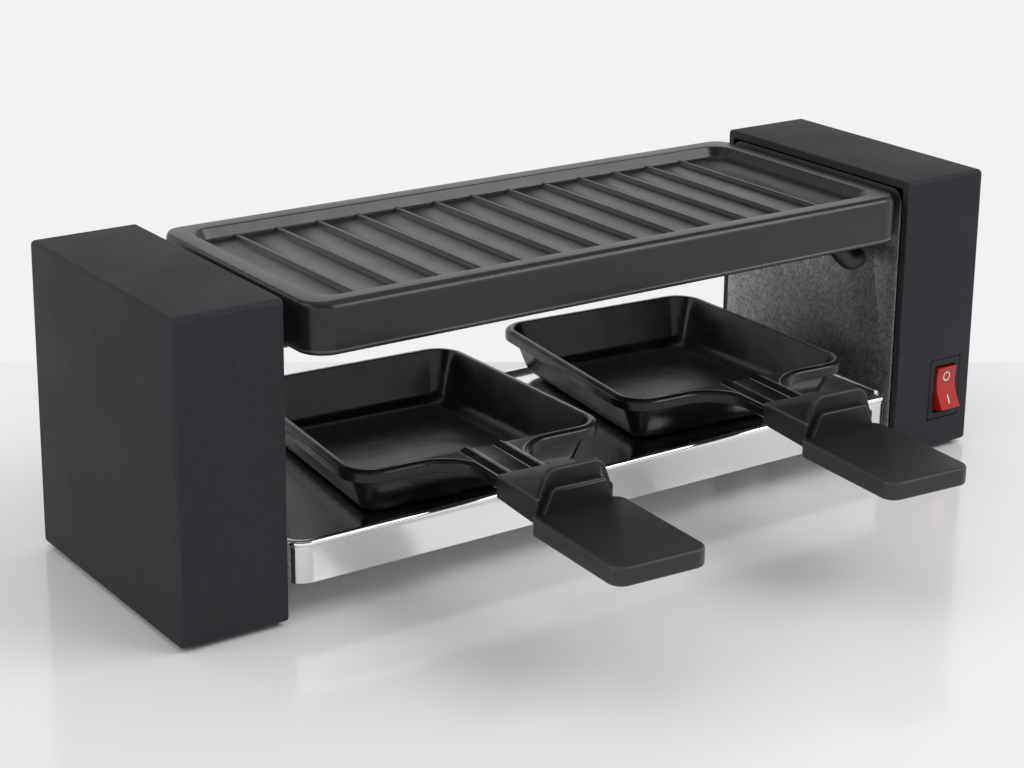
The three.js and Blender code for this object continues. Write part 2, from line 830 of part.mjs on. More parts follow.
function panShell() {
  const flangeBottom = panRimTop - panFlange;
  const flange = profileLoft(flangeCorners, [
    { z: flangeBottom, inset: 0 },
    { z: panRimTop - panLip, inset: 0 },
    { z: panRimTop, inset: panLip / 2 },
  ]);
  const hollow = profileLoft(flangeCorners, [
    { z: flangeBottom - cutOverrun, inset: panSheet },
    { z: panRimTop - panSheet, inset: panSheet },
  ]);
  const outer = profileLoft(panCorners, [
    ...bowlLevels(panBase, panFillet + panSheet, panRimWidth - panSheet),
    { z: panRimTop - panSheet / 2, inset: panRimWidth - panSheet },
  ]);
  const inner = profileLoft(panCorners, [
    ...bowlLevels(panFloorTop, panFillet, panRimWidth),
    { z: panRimTop, inset: panRimWidth },
    { z: panRimTop + cutOverrun, inset: panRimWidth },
  ]);
  const beads = [-1, 1].map((side) => {
    const middle = side * beadOffset;
    const section = polygonShape([
      [middle - beadWidth / 2, panRimTop - panSheet / 2],
      [middle + beadWidth / 2, panRimTop - panSheet / 2],
      [middle + beadWidth / 2, panRimTop],
      [middle, panRimTop + beadHeight],
      [middle - beadWidth / 2, panRimTop],
    ]);
    return prism('y', section, tongueEnd, panFront + panRimWidth + cutOverrun);
  });
  const tab = block(
    -halfTab, halfTab, tabEnd, tongueEnd + tongueTabRoot, tabBottom, tabTop,
  );
  const hole = rod('z', screwHole, tabBottom - cutOverrun, tabTop + cutOverrun, 0, handleScrewY);
  return cut(join(cut(flange, hollow), outer, ...beads, tab), inner, hole);
}

// Handles
function trapezoidCorners(footWidth, topWidth, bottom, top, radius) {
  return [
    { x: -footWidth / 2, y: bottom, radius: 0 },
    { x: footWidth / 2, y: bottom, radius: 0 },
    { x: topWidth / 2, y: top, radius },
    { x: -topWidth / 2, y: top, radius },
  ];
}

function handlePaddle() {
  const half = handleWidth / 2;
  const plan = rectangleShape(-half, half, paddleBack - paddleLength, paddleBack, paddleCorner);
  return prism('z', plan, paddleTop - paddleThickness, paddleTop, paddleEdge);
}

function handleBody() {
  const half = sleeveWidth / 2;
  const side = polygonShape([
    [guardFront, sleeveTop - sleeveFrontHeight],
    [sleeveBack, sleeveTop - sleeveBackHeight],
    [sleeveBack, sleeveTop],
    [guardFront, sleeveTop],
  ]);
  const sleeve = prism('x', side, -half, half, handleEdge);
  const guardOutline = trapezoidCorners(
    sleeveWidth, guardTopWidth, guardBottom, guardBottom + guardHeight, guardCorner,
  );
  const guard = prism(
    'y', new THREE.Shape(roundedOutline(guardOutline)), guardFront, sleeveFront, handleEdge,
  );
  const stepOutline = trapezoidCorners(
    stepFootWidth, stepTopWidth, paddleTop - paddleEdge, sleeveTop + stepRise, stepCorner,
  );
  const step = prism(
    'y', new THREE.Shape(roundedOutline(stepOutline)),
    guardFront - stepLength, sleeveFront, handleEdge,
  );
  const slot = block(
    -halfTab - seatGap, halfTab + seatGap, tabEnd - seatGap, sleeveBack + cutOverrun,
    tabBottom - seatGap, tabTop + seatGap,
  );
  const bore = rod('z', screwHole, handleScrewSeat - cutOverrun, tabTop, 0, handleScrewY);
  const sink = rod(
    'z', screwHeadRadius + seatGap, handleScrewSeat - sleeveFrontHeight, handleScrewSeat,
    0, handleScrewY,
  );
  return cut(join(sleeve, guard, step, handlePaddle()), slot, bore, sink);
}

for (const [end, side, yaw] of [['left', -1, panYawLeft], ['right', 1, panYawRight]]) {
  const place = new THREE.Group();
  place.position.set(side * panOffset + panShift, side * panStagger, 0);
  place.rotation.z = -THREE.MathUtils.degToRad(yaw);
  grill.add(place);
  addPiece(`pan_${end}`, panShell(), 'coating', place);
  addPiece(`handle_${end}`, handleBody(), 'handle', place);
  const headFace = handleScrewSeat - seatGap - screwHeadHeight;
  const fixing = addScrew(
    `handle_screw_${end}`, 0, handleScrewY, headFace, place, handleScrewReach,
  );
  fixing.rotation.y = -Math.PI / 2;
}

// Rocker switch
function switchBody() {
  const halfBezel = switchBezelWidth / 2;
  const halfBezelHeight = switchBezelHeight / 2;
  const bezel = prism('y', rectangleShape(
    switchX - halfBezel, switchX + halfBezel,
    switchHeight - halfBezelHeight, switchHeight + halfBezelHeight, bezelCorner,
  ), switchFace, bezelBack);
  const casing = block(
    switchX - switchCaseWidth / 2, switchX + switchCaseWidth / 2, switchFace, caseBack,
    switchHeight - switchCaseHeight / 2, switchHeight + switchCaseHeight / 2,
  );
  const halfPocket = rockerWidth / 2 + rockerSideGap;
  const pocket = block(
    switchX - halfPocket, switchX + halfPocket,
    switchFace - cutOverrun, pivotY + rockerKeelDepth + rockerPocketSpare,
    switchHeight - rockerPocketHeight / 2, switchHeight + rockerPocketHeight / 2,
  );
  const pinReach = rockerWidth / 2 + trunnionReach + rockerSideGap;
  const bearing = rod(
    'x', trunnionRadius + rockerSideGap, switchX - pinReach, switchX + pinReach,
    pivotY, switchHeight,
  );
  return cut(join(bezel, casing), pocket, bearing);
}

function rockerBody() {
  const half = rockerWidth / 2;
  const upper = [
    [-rockerWaistRise, 0],
    [-rockerTipRise, rockerTipHeight],
    [0, rockerShoulderHeight],
    [rockerCheekDepth, rockerCheekHeight],
    [rockerKeelDepth, rockerKeelHeight],
  ];
  const lower = upper.slice(1).map(([depth, rise]) => [depth, -rise]).reverse();
  const body = prism('x', polygonShape([...upper, ...lower].reverse()), -half, half);
  const reach = half + trunnionReach;
  return body.add(rod('x', trunnionRadius, -reach, reach, 0, 0));
}
addPiece('switch_body', switchBody(), 'housing');
const rocker = addPiece('switch_rocker', rockerBody(), 'rocker');
rocker.position.set(switchX, pivotY, switchHeight);
rocker.rotation.x = -THREE.MathUtils.degToRad(rockerTilt);

const tabPlaces = [];
for (const [height, rise] of [['low', -1], ['high', 1]]) {
  for (const [pole, side] of [['live', -1], ['neutral', 1]]) {
    const x = switchX + (side * tabSpread) / 2;
    const z = switchHeight + (rise * tabRise) / 2;
    const start = caseBack + seatGap;
    addPiece(`switch_tab_${pole}_${height}`, block(
      x - tabSheet / 2, x + tabSheet / 2, start, start + tabLength,
      z - tabWidth / 2, z + tabWidth / 2,
    ), 'brass');
    tabPlaces.push(new THREE.Vector3(x, start + tabLength + seatGap, z));
  }
}
const [liveIn, neutralIn, liveOut, neutralOut] = tabPlaces;

// Terminal block
const blockBottom = cavityBottom + seatGap;
const boreRise = blockBottom + blockHeight - blockSpread;
const borePlaces = [-1, 0, 1].map((side) => middleX + side * blockSpread);
function terminalBlock() {
  const body = block(
    middleX - blockWidth / 2, middleX + blockWidth / 2, blockStart, blockStart + blockLength,
    blockBottom, blockBottom + blockHeight,
  );
  const bores = borePlaces.map((x) =>
    rod('y', blockBore, blockStart - cutOverrun, blockStart + blockLength + cutOverrun, x, boreRise));
  return cut(body, ...bores);
}
addPiece('terminal_block', terminalBlock(), 'block');

// Thermal fuse in its sleeve
addPiece('thermal_fuse', rod('z', fuseRadius, fuseBase, fuseTop, fuseX, -tubeEndOffset), 'block');

// Earth tag and screw on the right side plate
const tagFace = plateOuterX + seatGap;
function earthTag() {
  const ring = rod('x', earthTagRadius, tagFace, tagFace + earthTagSheet, 0, earthHeight);
  const half = earthBarrelWidth / 2;
  const barrel = block(
    tagFace, tagFace + earthTagSheet, -earthBarrelLength, 0,
    earthHeight - half, earthHeight + half,
  );
  const back = tagFace + earthTagSheet + cutOverrun;
  const hole = rod('x', screwHole, tagFace - cutOverrun, back, 0, earthHeight);
  return cut(join(ring, barrel), hole);
}
addPiece('earth_tag', earthTag(), 'brass');
const earthFace = tagFace + earthTagSheet + seatGap + screwHeadHeight;
addScrew('earth_screw', earthFace, 0, earthHeight, grill, earthScrewReach).rotation.z = Math.PI;

// Wires: each one leaves its start and meets its end along a lead
const at = (x, y, z) => new THREE.Vector3(x, y, z);
function wire(name, finish, start, startLead, end, endLead) {
  const route = new THREE.CubicBezierCurve3(
    start, start.clone().add(startLead), end.clone().add(endLead), end,
  );
  addPiece(name, tube(route.getSpacedPoints(wireSteps), wireRadius, wireSides), finish);
}

const forward = at(0, -wireBow, 0);
const backward = at(0, wireBow, 0);
const downward = at(0, 0, -wireBow);
const farDown = at(0, 0, -wireDrop);
const [earthEntry, liveEntry, neutralEntry] = borePlaces.map((x) =>
  at(x, blockStart + wireBite, boreRise));
wire('wire_live_in', 'liveWire', liveEntry, forward, liveIn, backward);
wire('wire_neutral_in', 'neutralWire', neutralEntry, forward, neutralIn, backward);
wire(
  'wire_live_out', 'liveWire', liveOut, backward,
  at(fuseX, -tubeEndOffset, fuseBase - seatGap), downward,
);
wire(
  'wire_fuse', 'liveWire', at(fuseX, -tubeEndOffset, fuseTop + seatGap), at(0, 0, 0),
  at(fuseX, -tubeEndOffset, belowPin), at(0, 0, 0),
);
wire(
  'wire_neutral_out', 'neutralWire', neutralOut, backward,
  at(fuseX, tubeEndOffset, belowPin), farDown,
);
wire(
  'wire_earth', 'earthWire', earthEntry, forward,
  at(tagFace + wireRadius, -earthBarrelLength - seatGap, earthHeight), forward,
);

// Gland in the rear wall for the mains lead
function cordGland() {
  const start = cavityHalfDepth - glandFlangeWidth;
  const end = halfDepth + glandFlangeWidth;
  const neck = rod('y', glandNeckRadius, start, end, middleX, glandHeight);
  const collar = rod(
    'y', glandFlangeRadius, halfDepth + seatGap, end, middleX, glandHeight,
  );
  const bore = rod('y', glandBore, start - cutOverrun, end + cutOverrun, middleX, glandHeight);
  return cut(join(neck, collar), bore);
}
addPiece('cord_gland', cordGland(), 'rubber');

// The origin is at the middle of the bottom of the whole object, handles included
const bounds = new THREE.Box3().setFromObject(grill, true);
grill.position.y = -(bounds.min.y + bounds.max.y) / 2;

export default grill;
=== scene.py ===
import json
import math

import bmesh
import bpy
from mathutils import Matrix, Vector


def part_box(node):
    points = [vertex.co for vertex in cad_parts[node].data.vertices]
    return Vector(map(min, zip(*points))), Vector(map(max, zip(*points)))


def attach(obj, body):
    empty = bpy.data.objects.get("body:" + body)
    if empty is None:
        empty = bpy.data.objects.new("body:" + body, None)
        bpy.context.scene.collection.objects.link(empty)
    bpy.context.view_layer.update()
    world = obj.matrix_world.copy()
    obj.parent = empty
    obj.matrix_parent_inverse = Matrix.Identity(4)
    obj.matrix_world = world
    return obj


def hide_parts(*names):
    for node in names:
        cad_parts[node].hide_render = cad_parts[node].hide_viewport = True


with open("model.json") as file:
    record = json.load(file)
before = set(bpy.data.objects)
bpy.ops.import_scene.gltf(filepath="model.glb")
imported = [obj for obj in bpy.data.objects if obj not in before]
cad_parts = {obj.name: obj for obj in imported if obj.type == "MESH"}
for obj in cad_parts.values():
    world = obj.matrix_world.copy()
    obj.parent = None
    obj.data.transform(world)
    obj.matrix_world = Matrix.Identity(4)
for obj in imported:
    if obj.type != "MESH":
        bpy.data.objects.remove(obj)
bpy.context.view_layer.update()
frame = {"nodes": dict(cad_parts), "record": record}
nodes = frame["nodes"]

# Lengths below are in millimetres, in a frame whose X runs towards the switch, whose Y is zero
# at the middle of the body, and whose Z is zero on the table.
MM = 0.001
low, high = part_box("housing_right")
MIDDLE_Y = (low.y + high.y) / 2


def metres(x, y, z):
    return Vector((x * MM, y * MM + MIDDLE_Y, z * MM))


def add_object(name, data):
    added = bpy.data.objects.new(name, data)
    bpy.context.scene.collection.objects.link(added)
    return added


# ---------------------------------------------------------------- camera
CAMERA_PLACE = (-472.37, -660.73, 328.57)
CAMERA_YAW = math.radians(-34.9447)
CAMERA_PITCH = math.radians(16.4169)
CAMERA_ROLL = math.radians(0.6325)
SENSOR_WIDTH = 36.0
FOCAL_PIXELS = 2329.28
IMAGE_WIDTH = 1024
IMAGE_HEIGHT = 768
CAMERA_SHIFT = -0.1201


def camera_axes():
    """The camera's right, up and backward directions."""
    yaw, pitch, roll = CAMERA_YAW, CAMERA_PITCH, CAMERA_ROLL
    back = Vector((math.sin(yaw) * math.cos(pitch), -math.cos(yaw) * math.cos(pitch), math.sin(pitch)))
    level = Vector((math.cos(yaw), math.sin(yaw), 0))
    upright = back.cross(level)
    right = math.cos(roll) * level + math.sin(roll) * upright
    up = -math.sin(roll) * level + math.cos(roll) * upright
    return right, up, back


def floor_place(column, row):
    """Where the line of sight through a point of the image meets the floor."""
    right, up, back = camera_axes()
    across = (column - IMAGE_WIDTH / 2) / FOCAL_PIXELS
    rise = (IMAGE_HEIGHT / 2 + CAMERA_SHIFT * IMAGE_WIDTH - row) / FOCAL_PIXELS
    sight = right * across + up * rise - back
    start = metres(*CAMERA_PLACE)
    return start - sight * (start.z / sight.z)


def add_camera():
    turn = Matrix(camera_axes()).transposed().to_4x4()
    data = bpy.data.cameras.new("camera")
    data.sensor_fit = "HORIZONTAL"
    data.sensor_width = SENSOR_WIDTH
    data.lens = FOCAL_PIXELS / IMAGE_WIDTH * SENSOR_WIDTH
    data.shift_y = CAMERA_SHIFT
    data.clip_start = 0.01
    data.clip_end = 50
    camera = add_object("camera", data)
    camera.matrix_world = Matrix.Translation(metres(*CAMERA_PLACE)) @ turn
    bpy.context.scene.camera = camera


add_camera()


# ---------------------------------------------------------------- materials
MATERIALS = {}


class Nodes:
    """A node tree, with one call for each kind of node that is used."""

    def __init__(self, tree, coordinates):
        self.tree = tree
        self.coordinates = self.add("ShaderNodeTexCoord").outputs[coordinates]

    def add(self, kind, **settings):
        node = self.tree.nodes.new(kind)
        for key, value in settings.items():
            setattr(node, key, value)
        return node

    def link(self, source, target):
        self.tree.links.new(source, target)

    def feed(self, node, values):
        """Gives a node's inputs their values, or a link where a value is another node's output."""
        for key, value in values.items():
            if isinstance(value, bpy.types.NodeSocket):
                self.link(value, node.inputs[key])
            else:
                node.inputs[key].default_value = value

    def stretched(self, scale):
        node = self.add("ShaderNodeMapping")
        self.feed(node, {"Vector": self.coordinates, "Scale": scale})
        return node.outputs["Vector"]

    def noise(self, scale, detail=2.0, rough=0.5, vector=None):
        node = self.add("ShaderNodeTexNoise")
        place = vector or self.coordinates
        self.feed(node, {"Vector": place, "Scale": scale, "Detail": detail, "Roughness": rough})
        return node.outputs["Fac"]

    def cells(self, scale, output="Distance"):
        node = self.add("ShaderNodeTexVoronoi")
        self.feed(node, {"Vector": self.coordinates, "Scale": scale})
        return node.outputs[output]

    def spread(self, source, start, end, low, high, curve="LINEAR"):
        """Carries a source's range from start to end over to the range from low to high."""
        node = self.add("ShaderNodeMapRange", interpolation_type=curve)
        self.feed(node, {"Value": source, "From Min": start, "From Max": end, "To Min": low, "To Max": high})
        return node.outputs["Result"]

    def blend(self, share, first, second):
        """A mix of two colours."""
        node = self.add("ShaderNodeMix", data_type="RGBA")
        self.feed(node, {0: share, 6: first, 7: second})
        return node.outputs[2]

    def math(self, operation, first, second):
        node = self.add("ShaderNodeMath", operation=operation)
        self.feed(node, {0: first, 1: second})
        return node.outputs[0]

    def edges(self, start, end, low, high):
        """A spread over how sharp the mesh is, from hollows under a half to edges over it."""
        geometry = self.add("ShaderNodeNewGeometry")
        return self.spread(geometry.outputs["Pointiness"], start, end, low, high)

    def height(self):
        parts = self.add("ShaderNodeSeparateXYZ")
        self.link(self.coordinates, parts.inputs["Vector"])
        return parts.outputs["Z"]

    def below(self, height):
        """One under a height in millimetres, and nothing over it."""
        return self.math("LESS_THAN", self.height(), height * MM)

    def between(self, low, high):
        """One from one height in millimetres to another, and nothing elsewhere."""
        return self.math("SUBTRACT", self.below(high), self.below(low))

    def seen(self):
        """One for rays that end in the picture, straight or by a mirror or glass, and nothing for others."""
        path = self.add("ShaderNodeLightPath").outputs
        nearest = self.math("MAXIMUM", path["Is Camera Ray"], path["Is Glossy Ray"])
        return self.math("MAXIMUM", nearest, path["Is Transmission Ray"])

    def surface(self, share, first, second, output):
        """Mixes two shaders into an output node."""
        node = self.add("ShaderNodeMixShader")
        self.feed(node, {0: share, 1: first, 2: second})
        self.link(node.outputs["Shader"], self.tree.nodes[output].inputs["Surface"])


class Finish(Nodes):
    """The node tree of a new material, with patterns that keep to the object."""

    def __init__(self, name):
        MATERIALS[name] = bpy.data.materials.new(name)
        MATERIALS[name].use_nodes = True
        super().__init__(MATERIALS[name].node_tree, "Object")
        self.shader = self.tree.nodes["Principled BSDF"]

    def bump(self, heights):
        """Bumps from pairs of a height in metres and a pattern, one upon another."""
        normal = None
        for distance, pattern in heights:
            node = self.add("ShaderNodeBump")
            self.feed(node, {"Distance": distance, "Height": pattern})
            if normal:
                self.link(normal, node.inputs["Normal"])
            normal = node.outputs["Normal"]
        self.link(normal, self.shader.inputs["Normal"])

    def finish(self, colour, roughness, **fixed):
        self.feed(self.shader, {"Base Color": colour, "Roughness": roughness})
        self.feed(self.shader, {key.replace("_", " "): value for key, value in fixed.items()})


def grey(value, warm=0.0):
    return (value * (1 + warm), value, value * (1 - warm), 1.0)


def tinted(colour, share):
    return tuple(min(channel * share, 1.0) for channel in colour[:3]) + (1.0,)


def moulded(name, colour, roughness, grain, depth, edge_wear_and_highlight=1.5, level=0.5):
    """Moulded plastic: a fine spark-eroded texture, faint cloudiness and lighter edges, which are rubbed edges
    and, where the lightening is strong, a painted highlight.
    """
    n = Finish(name)
    cloud = n.noise(9, 3)
    fine = n.noise(grain, 2, 0.6)
    base = n.blend(n.spread(cloud, 0.35, 0.65, 0, 1), tinted(colour, 0.85), tinted(colour, 1.15))
    base = n.blend(n.spread(fine, 0.5, 0.75, 0, 0.5), base, tinted(colour, 1.9))
    base = n.blend(n.edges(0.51, 0.58, 0, 0.6), base, tinted(colour, edge_wear_and_highlight))
    rough = n.math("ADD", n.spread(n.noise(35, 3), 0.3, 0.7, -0.05, 0.05), roughness)
    pits = n.cells(grain * 0.8)
    n.bump([(depth, fine), (depth * 0.7, pits)])
    n.finish(base, rough, Specular_IOR_Level=level)


# Heights in millimetres between which the coatings and the side plates look different: painted highlights and
# reflections on the coatings, painted shade on the side plates.
FOOT_HIGHLIGHT_HEIGHTS = (91.1, 91.7)
PAINTED_FLOOR_REFLECTION = (26.5, 27.7)
LIP_HIGHLIGHT = (45.96, 45.997)
BEAD_FOOT_HIGHLIGHT = (46.004, 46.08)
PLATE_TOP_SHADE = (97.0, 105.0)


def cast_coating():
    """Non-stick coating on the cast plate: fine grain over a satin black, and a painted highlight line along the
    rounding at its foot.
    """
    n = Finish("cast_coating")
    cloud = n.noise(7, 3)
    fine = n.noise(1500, 3, 0.65)
    peel = n.noise(420, 2)
    base = n.blend(n.spread(cloud, 0.3, 0.7, 0, 1), (0.0085, 0.0085, 0.0105, 1), (0.013, 0.012, 0.014, 1))
    base = n.blend(n.spread(fine, 0.55, 0.72, 0, 0.5), base, grey(0.04))
    base = n.blend(n.edges(0.51, 0.57, 0, 0.5), base, grey(0.03))
    # Painted highlight: a pale band along the skirt's lower rounding, standing in for the table's reflection
    # there.
    foot_highlight = n.between(*FOOT_HIGHLIGHT_HEIGHTS)
    base = n.blend(n.math("MULTIPLY", foot_highlight, n.spread(cloud, 0.3, 0.6, 0.4, 0.9)), base, grey(0.17))
    rough = n.math("ADD", n.spread(n.noise(60, 3), 0.3, 0.7, -0.03, 0.03), 0.3)
    n.bump([(0.00001, peel), (0.000006, fine)])
    n.finish(base, rough, Specular_IOR_Level=0.48, Specular_Tint=(1.0, 0.96, 0.995, 1.0))


def pan_coating():
    """Glossy non-stick coating on pressed sheet: waves and specks, a paler floor that is a painted reflection, and
    painted highlight lines along the lip and the bead feet.
    """
    n = Finish("pan_coating")
    cloud = n.noise(14, 2)
    speck = n.cells(1400)
    wave = n.noise(70, 1)
    fine = n.noise(900, 2, 0.6)
    base = n.blend(n.spread(cloud, 0.3, 0.7, 0, 1), grey(0.006), grey(0.011))
    base = n.blend(n.spread(speck, 0.0, 0.12, 0.5, 0), base, grey(0.05))
    base = n.blend(n.spread(n.noise(42, 3, 0.6), 0.52, 0.7, 0, 0.8), base, (0.04, 0.035, 0.035, 1))
    # Painted reflection: the pan's inner floor is made paler, standing in for the bright opening mirrored in it.
    base = n.blend(n.between(*PAINTED_FLOOR_REFLECTION), base, (0.036, 0.033, 0.034, 1))
    # Painted highlight: thin pale lines along the lip's crest and the beads' feet, where light would glint.
    highlight_lines = n.math("ADD", n.between(*LIP_HIGHLIGHT), n.between(*BEAD_FOOT_HIGHLIGHT))
    base = n.blend(n.math("MULTIPLY", highlight_lines, n.spread(n.noise(90, 2), 0.3, 0.6, 0.3, 0.9)), base, grey(0.3))
    rough = n.math("ADD", n.spread(n.noise(45, 3), 0.3, 0.7, -0.04, 0.06), 0.24)
    n.bump([(0.0003, wave), (0.00003, fine)])
    n.finish(base, rough, Specular_IOR_Level=0.36, Coat_Weight=0.05, Coat_Roughness=0.12)


def polished_sheet():
    """Polished steel sheet: bright, with faint draw lines along its length and a few smears."""
    n = Finish("polished_sheet")
    lines = n.noise(60, 3, 0.6, n.stretched((0.35, 9, 9)))
    smear = n.noise(11, 3)
    base = n.blend(n.spread(smear, 0.3, 0.7, 0, 1), grey(0.88, 0.012), grey(0.94, 0.006))
    rough = n.math("ADD", n.spread(lines, 0.3, 0.7, -0.02, 0.04), n.spread(smear, 0.45, 0.8, 0.1, 0.18))
    n.bump([(0.00004, n.noise(24, 2, 0.5, n.stretched((0.5, 3, 3))))])
    n.finish(base, rough, Metallic=1.0)


def galvanised_sheet():
    """Galvanised steel: spangle of small patches with white specks, and painted shade beside the hot plate, darker
    towards the top.
    """
    n = Finish("galvanised_sheet")
    patch = n.cells(900, output="Color")
    shade = n.add("ShaderNodeSeparateColor")
    n.link(patch, shade.inputs["Color"])
    fine = n.noise(1700, 3, 0.7)
    base = n.blend(shade.outputs[0], grey(0.24), grey(0.40))
    base = n.blend(n.spread(fine, 0.56, 0.68, 0, 0.9), base, grey(0.66))
    # Painted shade: the side plates darken from 97 mm up to 105 mm, where the housing's edge shades them.
    base = n.blend(n.spread(n.height(), PLATE_TOP_SHADE[0] * MM, PLATE_TOP_SHADE[1] * MM, 0, 1), base, grey(0.05))
    rough = n.math("ADD", n.spread(shade.outputs[1], 0, 1, -0.05, 0.07), 0.55)
    n.bump([(0.00002, fine), (0.00001, shade.outputs[2])])
    n.finish(base, rough, Metallic=1.0)


def plated(name, colour, roughness):
    """Plated or bare metal of small parts: turning marks, a little tarnish and bright edges."""
    n = Finish(name)
    marks = n.noise(2200, 2)
    stain = n.noise(220, 3)
    base = n.blend(n.spread(stain, 0.35, 0.7, 0, 1), colour, tinted(colour, 0.62))
    base = n.blend(n.edges(0.51, 0.6, 0, 0.6), base, tinted(colour, 1.4))
    rough = n.math("ADD", n.spread(marks, 0.3, 0.7, -0.06, 0.08), roughness)
    n.bump([(0.00002, marks)])
    n.finish(base, rough, Metallic=1.0)


def tube_coating():
    """Sheath of the heating tube: dull dark oxide with faint heat bands and rub marks."""
    n = Finish("tube_coating")
    band = n.noise(30, 3, 0.6)
    fine = n.noise(1600, 2)
    base = n.blend(n.spread(band, 0.35, 0.65, 0, 1), grey(0.018, 0.04), grey(0.038, -0.03))
    base = n.blend(n.spread(fine, 0.6, 0.8, 0, 0.6), base, grey(0.09))
    rough = n.math("ADD", n.spread(band, 0.3, 0.7, -0.06, 0.08), 0.46)
    n.bump([(0.00003, fine)])
    n.finish(base, rough, Metallic=0.35)


def dressed(name, colour, roughness, grain=1200.0, depth=0.00003, **fixed):
    """Plain small parts: cloudy colour, fine grain and painted shade in their hollows."""
    n = Finish(name)
    cloud = n.noise(120, 3)
    fine = n.noise(grain, 2)
    base = n.blend(n.spread(cloud, 0.3, 0.7, 0, 1), tinted(colour, 0.82), tinted(colour, 1.12))
    # Painted shade: hollows, where the mesh is less sharp than flat, are darkened to half their colour.
    base = n.blend(n.edges(0.4, 0.49, 0.6, 0), base, tinted(colour, 0.5))
    rough = n.math("ADD", n.spread(fine, 0.3, 0.7, -0.05, 0.07), roughness)
    n.bump([(depth, fine)])
    n.finish(base, rough, **fixed)


moulded("housing_plastic", (0.0270, 0.0264, 0.0310, 1.0), 0.58, 1500, 0.00004, 1.7, 0.16)
# On the handles the edges are lightened twenty times: a painted highlight, thin bright lines along the guard, the
# step and the paddle.
moulded("handle_plastic", grey(0.0095, -0.03), 0.4, 1900, 0.00003, 20.0, 0.34)
moulded("switch_plastic", (0.0260, 0.0254, 0.0300, 1.0), 0.56, 1500, 0.00003, 1.7, 0.16)
dressed(
    "rocker_plastic", (0.47, 0.009, 0.005, 1.0), 0.14, 900, 0.000006,
    Specular_IOR_Level=0.4, Coat_Weight=0.25, Coat_Roughness=0.06,
)
cast_coating()
pan_coating()
tube_coating()
galvanised_sheet()
polished_sheet()
plated("screw_steel", grey(0.5, 0.01), 0.3)
plated("terminal_brass", (0.62, 0.44, 0.17, 1.0), 0.3)
dressed("foot_rubber", grey(0.018), 0.8, 1500, 0.00006)
dressed("ceramic", (0.72, 0.69, 0.6, 1.0), 0.6, 1500, 0.00004)
dressed("terminal_plastic", (0.66, 0.64, 0.56, 1.0), 0.4)
dressed("live_wire", (0.15, 0.055, 0.028, 1.0), 0.5, 2600, 0.00005)
dressed("neutral_wire", (0.028, 0.09, 0.37, 1.0), 0.5, 2600, 0.00005)
dressed("earth_wire", (0.15, 0.34, 0.045, 1.0), 0.5, 2600, 0.00005)
dressed("switch_marks", (0.85, 0.83, 0.8, 1.0), 0.35, 1500, 0.00001)


# ---------------------------------------------------------------- mesh tools
CORNER_STEPS = 10
ROUND_SIDES = 64


def corner(x, y, radius=0.0, least=0.0):
    """A corner, its rounding, and the least that an inset leaves of the rounding."""
    return (x, y, radius, least)


def rectangle(half_x, half_y, radius=0.0, least=0.0, middle=(0.0, 0.0)):
    x, y = middle
    signs = ((-1, -1), (1, -1), (1, 1), (-1, 1))
    return [corner(x + way * half_x, y + side * half_y, radius, least) for way, side in signs]


def outline(corners, inset=0.0, steps=CORNER_STEPS):
    """Points of a polygon whose corners are rounded, drawn in by an inset."""
    count = len(corners)
    edges = []
    for index, (x, y, _, _) in enumerate(corners):
        after = corners[(index + 1) % count]
        along = Vector((after[0] - x, after[1] - y)).normalized()
        inward = Vector((-along.y, along.x))
        edges.append((along, inward, Vector((x, y)) + inward * inset))
    points = []
    for index, (_, _, radius, least) in enumerate(corners):
        along, inward, start = edges[index - 1]
        ahead, _, start_ahead = edges[index]
        cross = along.x * ahead.y - along.y * ahead.x
        gap = start_ahead - start
        tip = start + along * ((gap.x * ahead.y - gap.y * ahead.x) / cross)
        turn = math.copysign(1, cross)
        round_radius = max(radius - turn * inset, least)
        if radius == 0:
            points.append(tip)
            continue
        angle = math.acos(max(-1.0, min(1.0, along.dot(ahead))))
        begin = tip - along * (round_radius * math.tan(angle / 2))
        centre = begin + inward * (turn * round_radius)
        spoke = begin - centre
        for step in range(steps + 1):
            swing = turn * angle * step / steps
            cosine, sine = math.cos(swing), math.sin(swing)
            turned = Vector((spoke.x * cosine - spoke.y * sine, spoke.x * sine + spoke.y * cosine))
            points.append(centre + turned)
    return points


AXES = {
    "x": lambda a, b, c: Vector((c, a, b)),
    "y": lambda a, b, c: Vector((a, c, b)),
    "z": lambda a, b, c: Vector((a, b, c)),
}


def mesh_object(name, vertices, faces):
    mesh = bpy.data.meshes.new(name)
    mesh.from_pydata([tuple(v) for v in vertices], [], faces)
    built = bmesh.new()
    built.from_mesh(mesh)
    bmesh.ops.remove_doubles(built, verts=built.verts, dist=1e-4)
    bmesh.ops.recalc_face_normals(built, faces=built.faces)
    built.to_mesh(mesh)
    built.free()
    return add_object(name, mesh)


def ring_faces(levels, count):
    """Faces that join rings of points, one ring to the next, with a cap at each end."""
    faces = []
    for level in range(levels - 1):
        for index in range(count):
            here = level * count + index
            ahead = level * count + (index + 1) % count
            faces.append((here, ahead, ahead + count, here + count))
    faces.append(tuple(reversed(range(count))))
    faces.append(tuple(range((levels - 1) * count, levels * count)))
    return faces


def loft(name, rings, axis="z"):
    """A closed solid through rings of points at given heights along one axis."""
    place = AXES[axis]
    vertices = [place(point.x, point.y, height) for height, points in rings for point in points]
    return mesh_object(name, vertices, ring_faces(len(rings), len(rings[0][1])))


def profiled(name, corners, profile, axis="z", steps=CORNER_STEPS):
    """A loft of one outline, whose profile gives pairs of a height and an inset."""
    return loft(name, [(height, outline(corners, inset, steps)) for height, inset in profile], axis)


